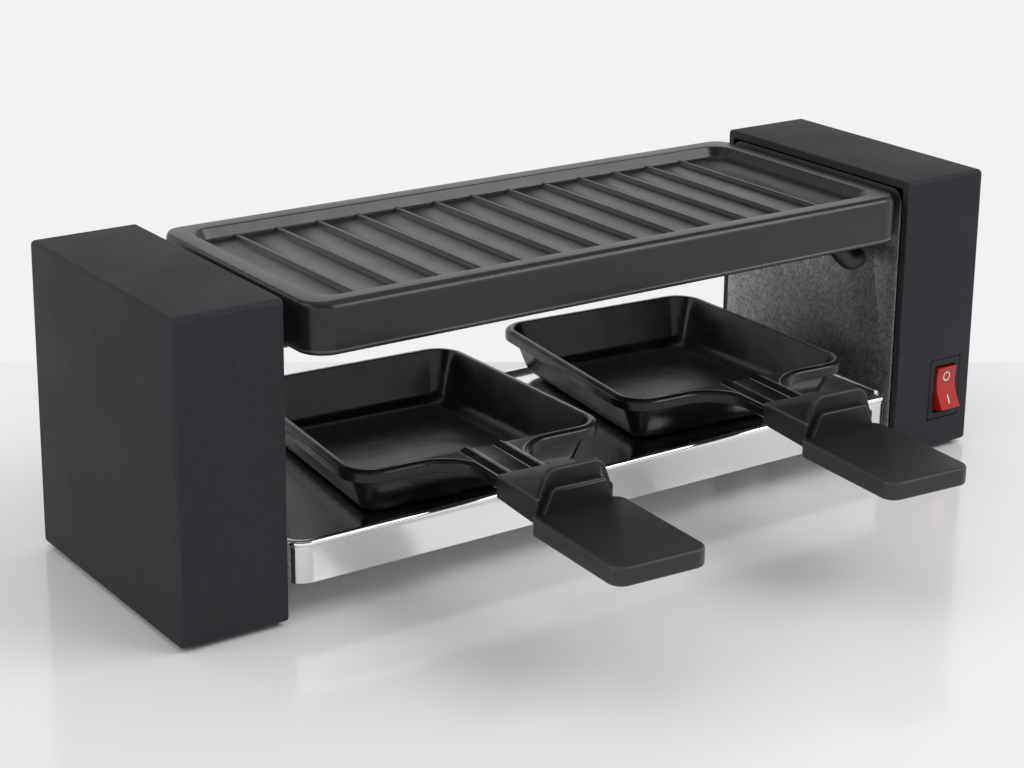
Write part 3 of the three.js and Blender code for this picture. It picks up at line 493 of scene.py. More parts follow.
def quarter(centre_height, centre_inset, radius, start, end, steps=5, height_radius=None):
    """Pairs of height and inset along an arc, for angles in degrees from the outward direction."""
    tall = radius if height_radius is None else height_radius
    pairs = []
    for step in range(steps + 1):
        angle = math.radians(start + (end - start) * step / steps)
        pairs.append((centre_height + tall * math.sin(angle), centre_inset - radius * math.cos(angle)))
    return pairs


def rounded(bottom, top, edge, steps=5):
    """Pairs of height and inset for a side whose edges are rounded at both ends."""
    return quarter(bottom + edge, edge, edge, -90, 0, steps) + quarter(top - edge, edge, edge, 0, 90, steps)


def slab(name, corners, bottom, top, edge, axis="z", steps=CORNER_STEPS):
    """A prism with rounded edges at both ends."""
    return profiled(name, corners, rounded(bottom, top, edge), axis, steps)


def circle(radius, sides):
    angles = [2 * math.pi * index / sides for index in range(sides)]
    return [Vector((radius * math.cos(angle), radius * math.sin(angle))) for angle in angles]


def turned(name, profile, place, axis="z", sides=ROUND_SIDES):
    """A profile of radius and height pairs turned about an axis through a place."""
    piece = loft(name, [(height, circle(radius, sides)) for radius, height in profile], axis)
    piece.data.transform(Matrix.Translation(place))
    return piece


def rod(name, radius, low_end, high_end, place, axis, edge=0.0, sides=ROUND_SIDES):
    """A cylinder, with rounded edges where an edge radius is given."""
    profile = [(radius, low_end), (radius, high_end)]
    if edge:
        profile = [(radius - inset, height) for height, inset in rounded(low_end, high_end, edge)]
    return turned(name, profile, place, axis, sides)


def box(name, x0, x1, y0, y1, z0, z1):
    corners = rectangle((x1 - x0) / 2, (y1 - y0) / 2, middle=((x0 + x1) / 2, (y0 + y1) / 2))
    return profiled(name, corners, [(z0, 0), (z1, 0)])


def discard(pieces):
    for piece in pieces:
        mesh = piece.data
        bpy.data.objects.remove(piece)
        bpy.data.meshes.remove(mesh)


def combine(piece, operation, tools):
    """Joins or cuts a piece with other pieces, which are used up."""
    for tool in tools:
        modifier = piece.modifiers.new("combine", "BOOLEAN")
        modifier.operation = operation
        modifier.solver = "EXACT"
        modifier.object = tool
    graph = bpy.context.evaluated_depsgraph_get()
    mesh = bpy.data.meshes.new_from_object(piece.evaluated_get(graph))
    piece.modifiers.clear()
    old = piece.data
    piece.data = mesh
    bpy.data.meshes.remove(old)
    discard(tools)
    return piece


def join(piece, *tools):
    return combine(piece, "UNION", tools)


def cut(piece, *tools):
    return combine(piece, "DIFFERENCE", tools)


def hole(low_end, high_end, place, axis="x"):
    """A tool that cuts a screw's clearance hole."""
    return rod("hole", HOLE_RADIUS, low_end, high_end, place, axis, sides=HOLE_SIDES)


def merged(pieces):
    """One mesh of several pieces that stay clear of each other."""
    first = pieces[0]
    built = bmesh.new()
    for piece in pieces:
        built.from_mesh(piece.data)
    built.to_mesh(first.data)
    built.free()
    discard(pieces[1:])
    return first


SHARP_ANGLE = math.radians(32)
WELD_DISTANCE = 2e-7
SHORTEST_EDGE = 1e-7
REPLACED = set()


def place_piece(piece, body, slot, replaced, material=None):
    """Takes a piece from millimetres to metres and gives it its finish, its body and its CAD nodes."""
    piece.data.transform(Matrix.Translation((0, MIDDLE_Y, 0)) @ Matrix.Scale(MM, 4))
    built = bmesh.new()
    built.from_mesh(piece.data)
    bmesh.ops.remove_doubles(built, verts=built.verts, dist=WELD_DISTANCE)
    bmesh.ops.dissolve_degenerate(built, edges=built.edges, dist=SHORTEST_EDGE)
    built.to_mesh(piece.data)
    built.free()
    piece.data.shade_smooth()
    piece.data.set_sharp_from_angle(angle=SHARP_ANGLE)
    piece.data.materials.clear()
    piece.data.materials.append(MATERIALS[material or slot])
    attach(piece, body)
    if replaced:
        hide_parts(*replaced)
        REPLACED.update(replaced)


# ---------------------------------------------------------------- shared sizes
BODY_HALF_LENGTH = 173.0
HALF_DEPTH = 52.5
BODY_TOP = 111.5
HOUSING_BOTTOM = 1.5
HOUSING_INNER = 134.0
WALL = 3.0
PLATE_INNER = 133.4
PLATE_OUTER = 134.2
GAP = 0.3
OVER = 1.0
BOSS_OFFSET = 40.0
BOSS_HEIGHTS = (7.7, 100.1)
SWITCH_X = 159.2
SWITCH_Z = 25.4
RECESS_HALF = (8.15, 12.3)
RECESS_DEPTH = 1.2
OPENING_HALF = (7.0, 10.6)
HOLE_RADIUS = 1.8
HOLE_SIDES = 32
HEAD_HEIGHT = 1.8
END_X = 153.5
GLAND_PLACE = (END_X, 0, 22.0)
TRAY_SCREW_OFFSET = 15.0
TRAY_SCREW_HEIGHT = 19.5
TURN_ROUND = Matrix.Rotation(math.pi, 4, "Z")
TURN = {"left": TURN_ROUND, "right": Matrix.Identity(4)}


# ---------------------------------------------------------------- housings
GLAND_NECK = 5.0
BOSS_RADIUS = 4.2
BORE_DEPTH = 12
HOUSING_CORNER = 1.9
LEAST_CORNER = 0.7
HOLLOW_CORNER = 1.5
MOUTH_EDGE = 0.6
END_EDGE = 1.5


def housing(name):
    """A casing with its open side towards the middle, and four bosses for the plate's screws."""
    middle_z = (HOUSING_BOTTOM + BODY_TOP) / 2
    half_z = (BODY_TOP - HOUSING_BOTTOM) / 2
    corners = rectangle(HALF_DEPTH, half_z, HOUSING_CORNER, LEAST_CORNER, (0, middle_z))
    profile = quarter(HOUSING_INNER + MOUTH_EDGE, MOUTH_EDGE, MOUTH_EDGE, -90, 0)
    profile += quarter(BODY_HALF_LENGTH - END_EDGE, END_EDGE, END_EDGE, 0, 90, 7)
    shell = profiled(name, corners, profile, "x")
    inner_half = (HALF_DEPTH - WALL, half_z - WALL)
    hollow_corners = rectangle(*inner_half, HOLLOW_CORNER, HOLLOW_CORNER, (0, middle_z))
    hollow = profiled("hollow", hollow_corners, [(HOUSING_INNER - OVER, 0), (BODY_HALF_LENGTH - WALL, 0)], "x")
    cut(shell, hollow)
    bosses = []
    bores = []
    for side in (-1, 1):
        for height in BOSS_HEIGHTS:
            place = (0, side * BOSS_OFFSET, height)
            bosses.append(rod("boss", BOSS_RADIUS, PLATE_OUTER + GAP, BODY_HALF_LENGTH - WALL + OVER, place, "x"))
            bores.append(hole(PLATE_OUTER - OVER, PLATE_OUTER + GAP + BORE_DEPTH, place))
    join(shell, merged(bosses))
    cut(shell, merged(bores))
    return shell


def switch_block(name, half, front, back):
    """A box round the switch's middle, by its half width and half height."""
    half_x, half_z = half
    return box(name, SWITCH_X - half_x, SWITCH_X + half_x, front, back, SWITCH_Z - half_z, SWITCH_Z + half_z)


def right_housing():
    shell = housing("housing_right_shell")
    front = -HALF_DEPTH
    recess = switch_block("recess", RECESS_HALF, front - OVER, front + RECESS_DEPTH)
    opening = switch_block("opening", OPENING_HALF, front - OVER, front + WALL + OVER)
    gland_hole = rod("gland_hole", GLAND_NECK + GAP, HALF_DEPTH - WALL - OVER, HALF_DEPTH + OVER, GLAND_PLACE, "y")
    return cut(shell, recess, opening, gland_hole)


def left_housing():
    shell = housing("housing_left_shell")
    shell.data.transform(TURN_ROUND)
    return shell


place_piece(right_housing(), "base", "housing_plastic", ["housing_right"])
place_piece(left_housing(), "base", "housing_plastic", ["housing_left"])


# ---------------------------------------------------------------- feet and screws
HEAD_PROFILE = [(2.1, 0), (2.5, 0.15), (2.78, 0.45), (2.9, 0.8), (2.9, 1.7), (2.8, HEAD_HEIGHT)]
SHANK_RADIUS = 1.5
TIP_RADIUS = 1.1
TIP_LENGTH = 0.4
SCREW_SIDES = 40
SLOT_DEPTH = 0.8
SLOT_HALF_LENGTH = 4
SLOT_HALF_WIDTH = 0.45
PLATE_SCREW_REACH = 9.0
TRAY_SCREW_REACH = 5.0
HANDLE_SCREW_REACH = 3.3


def screw(name, reach):
    """A slotted screw along X, with the face of its head at zero, and a shank as long as its reach."""
    tip = HEAD_HEIGHT + reach
    shank = [(SHANK_RADIUS, HEAD_HEIGHT), (SHANK_RADIUS, tip - TIP_LENGTH), (TIP_RADIUS, tip)]
    piece = turned(name, HEAD_PROFILE + shank, (0, 0, 0), "x", SCREW_SIDES)
    half, width = SLOT_HALF_LENGTH, SLOT_HALF_WIDTH
    return cut(piece, box("slot", -OVER, SLOT_DEPTH, -half, half, -width, width))


def placed_screw(node, body, reach, turn, place, slot_turn):
    piece = screw(node + "_fine", reach)
    piece.data.transform(Matrix.Rotation(slot_turn, 4, "X"))
    piece.data.transform(Matrix.Translation(place) @ turn)
    place_piece(piece, body, "screw_steel", [node])


TRAY_WALL = 1.0
PLATE_SCREW_FACE = PLATE_INNER - GAP - HEAD_HEIGHT
TRAY_SCREW_FACE = PLATE_INNER - GAP - TRAY_WALL - GAP - HEAD_HEIGHT
FOOT_RADIUS = 6.0
FOOT_OFFSET = 38.5
FOOT_EDGE = 0.4
for end, way in (("left", -1), ("right", 1)):
    for spot, side in (("front", -1), ("rear", 1)):
        foot = rod(
            f"foot_{end}_{spot}_fine", FOOT_RADIUS, 0, HOUSING_BOTTOM - GAP,
            (way * END_X, side * FOOT_OFFSET, 0), "z", FOOT_EDGE,
        )
        place_piece(foot, "base", "foot_rubber", [f"foot_{end}_{spot}"])
        for level, height in zip(("low", "high"), BOSS_HEIGHTS):
            placed_screw(
                f"plate_screw_{end}_{spot}_{level}", "base", PLATE_SCREW_REACH, TURN[end],
                (way * PLATE_SCREW_FACE, side * BOSS_OFFSET, height), 0.5 + side * 0.9 + height * 0.01,
            )
        placed_screw(
            f"tray_screw_{end}_{spot}", "base", TRAY_SCREW_REACH, TURN[end],
            (way * TRAY_SCREW_FACE, side * TRAY_SCREW_OFFSET, TRAY_SCREW_HEIGHT), 0.4 * side + 0.3 * way,
        )


# ---------------------------------------------------------------- base tray
TRAY_HALF = 133.1
TRAY_BOTTOM = 12.8
TRAY_TOP = 27.8
TRAY_FLOOR = 26.0
TRAY_CORNER = 9.0
TRAY_HOLE_DEPTH = 3.2


def base_tray():
    """A profile from under the floor over the skirt's inside and outside to the top bead."""
    corners = rectangle(TRAY_HALF, HALF_DEPTH, TRAY_CORNER, 1.6)
    profile = [(TRAY_FLOOR - 1.0, 5.2), (TRAY_FLOOR - 0.9, 4.2), (TRAY_FLOOR - 0.2, 3.2)]
    profile += [(TRAY_FLOOR - 0.2, 2.2), (TRAY_FLOOR - 0.9, 1.5), (TRAY_BOTTOM + 0.2, 1.5)]
    profile += quarter(TRAY_BOTTOM + 0.35, 1.0, 0.5, -180, 0, 6, 0.35)
    profile += [(TRAY_TOP - 3.0, 0.5), (TRAY_TOP - 2.75, 0.42)]
    profile += quarter(TRAY_TOP - 1.2, 1.2, 1.2, -50, 90, 9)
    profile += quarter(TRAY_TOP - 0.9, 1.9, 0.9, 90, 150, 4)
    profile += [(TRAY_FLOOR + 0.35, 3.3), (TRAY_FLOOR + 0.1, 3.8), (TRAY_FLOOR, 4.5)]
    piece = profiled("base_tray_sheet", corners, profile)
    holes = []
    for end in (-1, 1):
        for side in (-1, 1):
            low_end, high_end = sorted((end * (TRAY_HALF - TRAY_HOLE_DEPTH), end * (TRAY_HALF + OVER)))
            holes.append(hole(low_end, high_end, (0, side * TRAY_SCREW_OFFSET, TRAY_SCREW_HEIGHT)))
    return cut(piece, merged(holes))


place_piece(base_tray(), "base", "polished_sheet", ["base_tray"])


# ---------------------------------------------------------------- grill plate
GRILL_HALF_LENGTH = 128.1
GRILL_MIDDLE = (2.9, 0.0)
GRILL_HALF_DEPTH = 54.0
GRILL_TOP = 107.5
GRILL_BOTTOM = 89.7
GRILL_FLOOR = 103.5
GRILL_CORNER = 10.0
SKIRT_ROUND = 1.7
TOP_ROUND = 3.3
RIM_WIDTH = 7.2
RIB_COUNT = 13
RIB_END = 99.9
RIB_MIDDLE = -0.7


def grill_rectangle(half_x, half_y, radius=GRILL_CORNER, back=0.0):
    middle_x, middle_y = GRILL_MIDDLE
    return rectangle(half_x, half_y, radius, 3.0, (middle_x, middle_y + back))


def wider_at_top(inset):
    """The outer edge where the top is rounded: half as much at the ends and the back as in front."""
    return grill_rectangle(GRILL_HALF_LENGTH + inset / 2, GRILL_HALF_DEPTH + inset / 4, back=inset / 4)


def grill_rings():
    """Rings from the underside over the skirt and the rim down to the floor of the recess."""
    outer = grill_rectangle(GRILL_HALF_LENGTH, GRILL_HALF_DEPTH)
    inner = grill_rectangle(GRILL_HALF_LENGTH - RIM_WIDTH, GRILL_HALF_DEPTH - RIM_WIDTH, 9.0)
    rings = [(GRILL_FLOOR - 3.0, outline(outer, 6.0))]
    for corners, arc in (
        (outer, (GRILL_FLOOR - 4.5, 4.5, 1.5, 90, 0, 4)),
        (outer, (GRILL_BOTTOM + 0.6, 2.4, 0.6, -180, -90, 4)),
        (outer, (GRILL_BOTTOM + SKIRT_ROUND, SKIRT_ROUND, SKIRT_ROUND, -90, 0, 7)),
        (None, (GRILL_TOP - TOP_ROUND, TOP_ROUND, TOP_ROUND, 0, 90, 12)),
        (inner, (GRILL_TOP - 0.7, 0.3, 0.7, 90, 152, 5)),
        (inner, (GRILL_FLOOR + 1.5, 4.1, 1.5, -30, -90, 6)),
    ):
        rings += [(z, outline(corners or wider_at_top(inset), inset)) for z, inset in quarter(*arc)]
    return rings


def rib(index):
    x = RIB_MIDDLE - RIB_END + 2 * RIB_END * index / (RIB_COUNT - 1)
    half_depth = GRILL_HALF_DEPTH - RIM_WIDTH - 4.0
    corners = rectangle(2.0, half_depth, 1.9, 0.2, (x, 0))
    profile = [(GRILL_FLOOR - 1.0, 0.2), (GRILL_FLOOR - 0.05, -0.1), (GRILL_FLOOR + 0.15, 0.25)]
    profile += [(GRILL_FLOOR + 0.45, 0.5), (GRILL_FLOOR + 1.2, 0.95)]
    profile += quarter(GRILL_FLOOR + 1.15, 1.6, 0.62, 25, 90, 5)
    return profiled("rib", corners, profile, "z", 6)


def grill_plate():
    plate = loft("grill_plate_cast", grill_rings())
    return join(plate, merged([rib(index) for index in range(RIB_COUNT)]))


place_piece(grill_plate(), "plate", "cast_coating", ["grill_plate"])


# ---------------------------------------------------------------- heating element
TUBE_RADIUS = 3.25
TUBE_HIGH = 89.0
TUBE_LOW = 81.0
TUBE_LEG = 41.5
TUBE_LEFT = 98.0
TUBE_RIGHT = 124.0
TUBE_END_OFFSET = 12.0
TUBE_END = PLATE_OUTER + 12.0
BEND = 7.0
DIP_RUN = 12.0
DIP_STEPS = 8


def bend_points(x, y, start, end, height, steps=14):
    """Points of a bend round a centre, for angles in degrees."""
    angles = [math.radians(start + (end - start) * step / steps) for step in range(steps + 1)]
    return [Vector((x + BEND * math.cos(angle), y + BEND * math.sin(angle), height)) for angle in angles]


def element_path():
    """The tube's middle line: the front half from its end to the far bends, and the same mirrored."""
    half = [Vector((TUBE_END, -TUBE_END_OFFSET, TUBE_LOW))]
    half += bend_points(TUBE_RIGHT + BEND, -TUBE_END_OFFSET - BEND, 90, 180, TUBE_LOW)
    half += bend_points(TUBE_RIGHT - BEND, -TUBE_LEG + BEND, 0, -90, TUBE_LOW)
    dip_start = TUBE_RIGHT - BEND
    for step in range(1, DIP_STEPS + 1):
        share = step / DIP_STEPS
        rise = (1 - math.cos(math.pi * share)) / 2
        half.append(Vector((dip_start - DIP_RUN * share, -TUBE_LEG, TUBE_LOW + (TUBE_HIGH - TUBE_LOW) * rise)))
    half += bend_points(-TUBE_LEFT + BEND, -TUBE_LEG + BEND, -90, -180, TUBE_HIGH)
    rear = [Vector((point.x, -point.y, point.z)) for point in reversed(half)]
    return half + rear


def swept(name, path, radius, sides=28):
    """A round tube along a path that starts level, with its ends closed."""
    vertices = []
    side = None
    for index, point in enumerate(path):
        before = path[max(index - 1, 0)]
        after = path[min(index + 1, len(path) - 1)]
        along = (after - before).normalized()
        if side is None:
            side = along.cross(Vector((0, 0, 1)))
        side = (side - along * side.dot(along)).normalized()
        other = along.cross(side)
        vertices += [point + side * spot.x + other * spot.y for spot in circle(radius, sides)]
    return mesh_object(name, vertices, ring_faces(len(path), sides))


place_piece(swept("heating_tube", element_path(), TUBE_RADIUS), "base", "tube_coating", ["heating_element"])


# ---------------------------------------------------------------- pans
PAN_FRONT_WIDTH = 102.0
PAN_BACK_WIDTH = 91.0
PAN_DEPTH = 104.0
PAN_BASE = 26.3
PAN_RIM = 46.0
PAN_SHEET = 1.0
RIM = 3.4
FLANGE = 4.3
SLOPE = 5.0
FILLET = 6.5
PAN_FRONT = -PAN_DEPTH / 2
TONGUE_HALF = 10.0
TONGUE_END = PAN_FRONT - 29.5
TAB_END = TONGUE_END - 18.0
SLEEVE_BACK = TONGUE_END - GAP
SLEEVE_FRONT = SLEEVE_BACK - 22.0
SLEEVE_TOP = PAN_RIM + 4.0
GUARD_FRONT = SLEEVE_FRONT - 2.6
GUARD_BOTTOM = SLEEVE_TOP - 1.2
PADDLE_TOP = SLEEVE_TOP - 4.8
PADDLE_BACK = GUARD_FRONT + 1.2
PADDLE_LENGTH = 50.2
SCREW_Y = SLEEVE_BACK - 10.0
TAB_TOP = PAN_RIM - 0.5
TAB_BOTTOM = TAB_TOP - 2.0
SCREW_SEAT = TAB_BOTTOM - 1.6
TONGUE_ROUND = 16.0

PAN_CORNERS = [
    corner(x, y, 12.0, 5.0)
    for x, y in (
        (-PAN_FRONT_WIDTH / 2, PAN_FRONT), (PAN_FRONT_WIDTH / 2, PAN_FRONT),
        (PAN_BACK_WIDTH / 2, -PAN_FRONT), (-PAN_BACK_WIDTH / 2, -PAN_FRONT),
    )
]
FLANGE_CORNERS = [
    PAN_CORNERS[0],
    corner(-TONGUE_HALF, PAN_FRONT, TONGUE_ROUND),
    corner(-TONGUE_HALF, TONGUE_END),
    corner(TONGUE_HALF, TONGUE_END),
    corner(TONGUE_HALF, PAN_FRONT, TONGUE_ROUND),
] + PAN_CORNERS[1:]
BEAD_HALF = 3.2
BEAD_OFFSET = 6.5
TAB_HALF = 7.0
CROWN = 1.5
LIP_EDGE = 0.55


def bowl(name, bottom, fillet, rim_inset, top_levels):
    """A pan's sloped wall and its rounded foot, as a solid."""
    profile = [(bottom, rim_inset + SLOPE + fillet)]
    profile += quarter(bottom + fillet, rim_inset + SLOPE + fillet, fillet, -84, -14, 9)
    return profiled(name, PAN_CORNERS, profile + top_levels)


def bead_rise(distance):
    """Height of a bead's section at a distance from its crest."""
    slope, foot, highlight_lines = 0.42, 1.0, 0.3
    if distance > BEAD_HALF - foot:
        return slope * (BEAD_HALF - distance) ** 2 / (2 * foot)
    flank = slope * foot / 2 + slope * (BEAD_HALF - foot - distance)
    return flank if distance > highlight_lines else flank - slope * (highlight_lines - distance) ** 2 / (2 * highlight_lines)


def bead(middle):
    """A pressed rib on the tongue, with straight flanks, a tight crest and rounded feet."""
    sunk = 0.01
    shape = [Vector((middle + side * BEAD_HALF, PAN_RIM - 0.9)) for side in (-1, 1)]
    away = [BEAD_HALF - 0.1 * step for step in range(11)] + [1.2, 0.3, 0.2, 0.1, 0.0]
    rises = [(distance, bead_rise(distance)) for distance in away]
    rises += [(-distance, rise) for distance, rise in reversed(rises[:-1])]
    shape += [Vector((middle + distance, PAN_RIM - sunk + rise)) for distance, rise in rises]
    return loft("bead", [(TONGUE_END, shape), (PAN_FRONT + RIM + OVER, shape)], "y")


def pan(name):
    """A pan: the turned-down rim with its tongue, the bowl, the beads, and the tab that the handle hides."""
    flange_profile = [(PAN_RIM - FLANGE, 0.35), (PAN_RIM - FLANGE + 0.3, 0.05)]
    flange_profile += quarter(PAN_RIM - CROWN, 2.6, 2.6, 0, 90, 10, CROWN)
    flange = profiled(name, FLANGE_CORNERS, flange_profile)
    ceiling = PAN_RIM - PAN_SHEET
    hollow_profile = [(PAN_RIM - FLANGE - OVER, PAN_SHEET), (ceiling - CROWN, PAN_SHEET), (ceiling, 2.8)]
    cut(flange, profiled("hollow", FLANGE_CORNERS, hollow_profile))
    outer_rim = RIM - PAN_SHEET
    outer = bowl("outer", PAN_BASE, FILLET + PAN_SHEET, outer_rim, [(PAN_RIM - PAN_SHEET / 2, outer_rim)])
    tab = box("tab", -TAB_HALF, TAB_HALF, TAB_END, TONGUE_END + 4.0, TAB_BOTTOM, TAB_TOP)
    join(flange, outer, merged([bead(-BEAD_OFFSET), bead(BEAD_OFFSET)]), tab)
    lip = PAN_RIM - LIP_EDGE
    inner_top = [(lip, RIM)] + quarter(lip, RIM - LIP_EDGE, LIP_EDGE, 180, 105, 4)[1:]
    inner = bowl("inner", PAN_BASE + PAN_SHEET, FILLET, RIM, inner_top + [(PAN_RIM + 4.0, RIM - LIP_EDGE)])
    return cut(flange, inner, hole(TAB_BOTTOM - OVER, TAB_TOP + OVER, (0, SCREW_Y, 0), "z"))


# ---------------------------------------------------------------- handles
SLEEVE_HALF = 14.7
HANDLE_EDGE = 0.9
GUARD_TOP = SLEEVE_TOP + 9.0
GUARD_TOP_WIDTH = 21.0
GUARD_EDGE = 0.8
STEP_FOOT_WIDTH = 27.4
STEP_TOP_WIDTH = 19.4
STEP_TOP = SLEEVE_TOP + 3.5
STEP_EDGE = 0.6
PADDLE_HALF = 17.5
PADDLE_THICKNESS = 6.4
SINK_RADIUS = 3.2


def trapezoid(foot, top, bottom, height, radius):
    """A trapezoid by its widths and heights, with its two top corners rounded."""
    return [
        corner(-foot / 2, bottom), corner(foot / 2, bottom),
        corner(top / 2, height, radius, 0.6), corner(-top / 2, height, radius, 0.6),
    ]


def handle(name):
    """A handle: the sleeve on the pan's tab, the guard, the step in front of it, and the paddle."""
    side = [
        corner(y, z, 0.8, 0.2) for y, z in (
            (GUARD_FRONT, SLEEVE_TOP - 9.3), (SLEEVE_BACK, SLEEVE_TOP - 8.2),
            (SLEEVE_BACK, SLEEVE_TOP), (GUARD_FRONT, SLEEVE_TOP),
        )
    ]
    sleeve = slab(name, side, -SLEEVE_HALF, SLEEVE_HALF, HANDLE_EDGE, "x", 4)
    guard_face = trapezoid(2 * SLEEVE_HALF, GUARD_TOP_WIDTH, GUARD_BOTTOM - 1.5, GUARD_TOP, 5.0)
    guard = slab("guard", guard_face, GUARD_FRONT, SLEEVE_FRONT, GUARD_EDGE, "y")
    step_face = trapezoid(STEP_FOOT_WIDTH, STEP_TOP_WIDTH, PADDLE_TOP - 1.0, STEP_TOP, 2.0)
    step = slab("step", step_face, GUARD_FRONT - 2.5, SLEEVE_FRONT, STEP_EDGE, "y")
    middle_y = PADDLE_BACK - PADDLE_LENGTH / 2
    plan = rectangle(PADDLE_HALF, PADDLE_LENGTH / 2, 5.0, 0.8, (0, middle_y))
    paddle = slab("paddle", plan, PADDLE_TOP - PADDLE_THICKNESS, PADDLE_TOP, HANDLE_EDGE)
    join(sleeve, paddle, guard, step)
    slot_half = TAB_HALF + GAP
    slot = box("slot", -slot_half, slot_half, TAB_END - GAP, SLEEVE_BACK + OVER, TAB_BOTTOM - GAP, TAB_TOP + GAP)
    screw_line = (0, SCREW_Y, 0)
    bore = hole(SCREW_SEAT - OVER, TAB_TOP, screw_line, "z")
    sink = rod("sink", SINK_RADIUS, SCREW_SEAT - 9.0, SCREW_SEAT, screw_line, "z", sides=SCREW_SIDES)
    return cut(sleeve, slot, bore, sink)


PAN_PLACES = {
    "left": (-59.3 + 4.1, -2.15, -3.0),
    "right": (59.3 + 4.1, 2.15, -4.0),
}
for end, (x, y, yaw) in PAN_PLACES.items():
    where = Matrix.Translation((x, y, 0)) @ Matrix.Rotation(math.radians(yaw), 4, "Z")
    body = f"{end}_pan"
    for piece, slot_name, node in (
        (pan(f"pan_{end}_pressed"), "pan_coating", f"pan_{end}"),
        (handle(f"handle_{end}_moulded"), "handle_plastic", f"handle_{end}"),
    ):
        piece.data.transform(where)
        place_piece(piece, body, slot_name, [node])
    head_face = SCREW_SEAT - GAP - HEAD_HEIGHT
    upright = where @ Matrix.Translation((0, SCREW_Y, head_face)) @ Matrix.Rotation(-math.pi / 2, 4, "Y")
    placed_screw(f"handle_screw_{end}", body, HANDLE_SCREW_REACH, upright, (0, 0, 0), 0.7)


# ---------------------------------------------------------------- switch
SWITCH_FACE = -HALF_DEPTH - 0.2
CASE_BACK = -HALF_DEPTH + 19.0
PIVOT_Y = -HALF_DEPTH + 1.6
BEZEL_HALF = (7.85, 11.9)
CASING_HALF = (6.7, 10.3)
POCKET_HALF = (5.25, 9.4)
BEARING_HALF = 6.05
BEARING_RADIUS = 1.55
PIN_HALF = 5.7
PIN_RADIUS = 1.2


def switch_body():
    bezel_corners = rectangle(*BEZEL_HALF, 1.0, 0.4, (SWITCH_X, SWITCH_Z))
    bezel_back = -HALF_DEPTH + RECESS_DEPTH - GAP
    profile = quarter(SWITCH_FACE + 0.35, 0.35, 0.35, -90, 0, 4) + [(bezel_back, 0)]
    bezel = profiled("switch_bezel", bezel_corners, profile, "y")
    join(bezel, switch_block("casing", CASING_HALF, SWITCH_FACE + 0.4, CASE_BACK))
    pocket_corners = rectangle(*POCKET_HALF, 0.6, 0.6, (SWITCH_X, SWITCH_Z))
    pocket_profile = [(SWITCH_FACE - OVER, -0.3), (SWITCH_FACE, -0.3), (SWITCH_FACE + 0.3, 0)]
    pocket_profile += [(PIVOT_Y + 4.6 + 1.2, 0)]
    pocket = profiled("pocket", pocket_corners, pocket_profile, "y", 4)
    low_end, high_end = SWITCH_X - BEARING_HALF, SWITCH_X + BEARING_HALF
    bearing = rod("bearing", BEARING_RADIUS, low_end, high_end, (0, PIVOT_Y, SWITCH_Z), "x", sides=HOLE_SIDES)
    return cut(bezel, pocket, bearing)


ROCKER_HALF = 4.9
ROCKER_REACH = 8.2
ROCKER_EDGE = 0.45
ROCKER_STEPS = 24
ROCKER_TILT = math.radians(-11)
MARK_THICKNESS = 0.12
MARK_PROUD = 0.05
MARK_OFFSET = 4.5
RING_RADII = (1.35, 1.8)
RING_STEPS = 48
BAR_TOP = -2.9
BAR_LENGTH = 3.4
BAR_HALF = 0.25
BAR_STEPS = 8


def rocker_face(rise):
    """Depth of the rocker's hollow front at a height over its pivot."""
    waist, tip = -3.0, -4.8
    return waist + (tip - waist) * (abs(rise) / ROCKER_REACH) ** 1.6


def rocker():
    rises = [ROCKER_REACH * (1 - 2 * step / ROCKER_STEPS) for step in range(ROCKER_STEPS + 1)]
    front = [Vector((rocker_face(rise), rise)) for rise in rises]
    lower = [Vector(pair) for pair in ((0, -8.7), (2.4, -7.6), (4.6, -3.0))]
    upper = [Vector((point.x, -point.y)) for point in reversed(lower)]
    shape = front + lower + upper
    levels = rounded(-ROCKER_HALF, ROCKER_HALF, ROCKER_EDGE, 4)
    rings = [(height, [point - point.normalized() * inset for point in shape]) for height, inset in levels]
    body_piece = loft("switch_rocker_fine", rings, "x")
    pins = rod("pins", PIN_RADIUS, -PIN_HALF, PIN_HALF, (0, 0, 0), "x", 0.2, 24)
    return join(body_piece, pins)


def rocker_frame():
    return Matrix.Translation((SWITCH_X, PIVOT_Y, SWITCH_Z)) @ Matrix.Rotation(ROCKER_TILT, 4, "X")


def face_mark(name, pairs, closed):
    """A thin mark that follows the rocker's face, from pairs of edge points (x, rise) along it."""
    vertices = []
    for pair in pairs:
        for x, rise in pair:
            depth = rocker_face(rise) - MARK_PROUD
            vertices += [Vector((x, depth, rise)), Vector((x, depth + MARK_THICKNESS, rise))]
    faces = []
    last = len(pairs) - 1
    for index in range(last + closed):
        a, b = index * 4, (index + 1) % len(pairs) * 4
        faces += [(a, a + 2, b + 2, b), (a + 1, b + 1, b + 3, a + 3)]
        faces += [(a, b, b + 1, a + 1), (a + 2, a + 3, b + 3, b + 2)]
    if not closed:
        faces += [(0, 1, 3, 2), (last * 4, last * 4 + 2, last * 4 + 3, last * 4 + 1)]
    return mesh_object(name, vertices, faces)


def ring_mark():
    inner, outer = (
        [(point.x, MARK_OFFSET + point.y * 1.05) for point in circle(radius, RING_STEPS)] for radius in RING_RADII
    )
    return face_mark("rocker_mark_off", list(zip(inner, outer)), True)


def bar_mark():
    rises = [BAR_TOP - BAR_LENGTH * step / BAR_STEPS for step in range(BAR_STEPS + 1)]
    return face_mark("rocker_mark_on", [((-BAR_HALF, rise), (BAR_HALF, rise)) for rise in rises], False)


place_piece(switch_body(), "base", "switch_plastic", ["switch_body"])
for piece, replaced, material in (
    (rocker(), ["switch_rocker"], None),
    (ring_mark(), [], "switch_marks"),
    (bar_mark(), [], "switch_marks"),
):
    piece.data.transform(rocker_frame())
    place_piece(piece, "rocker", "rocker_plastic", replaced, material)


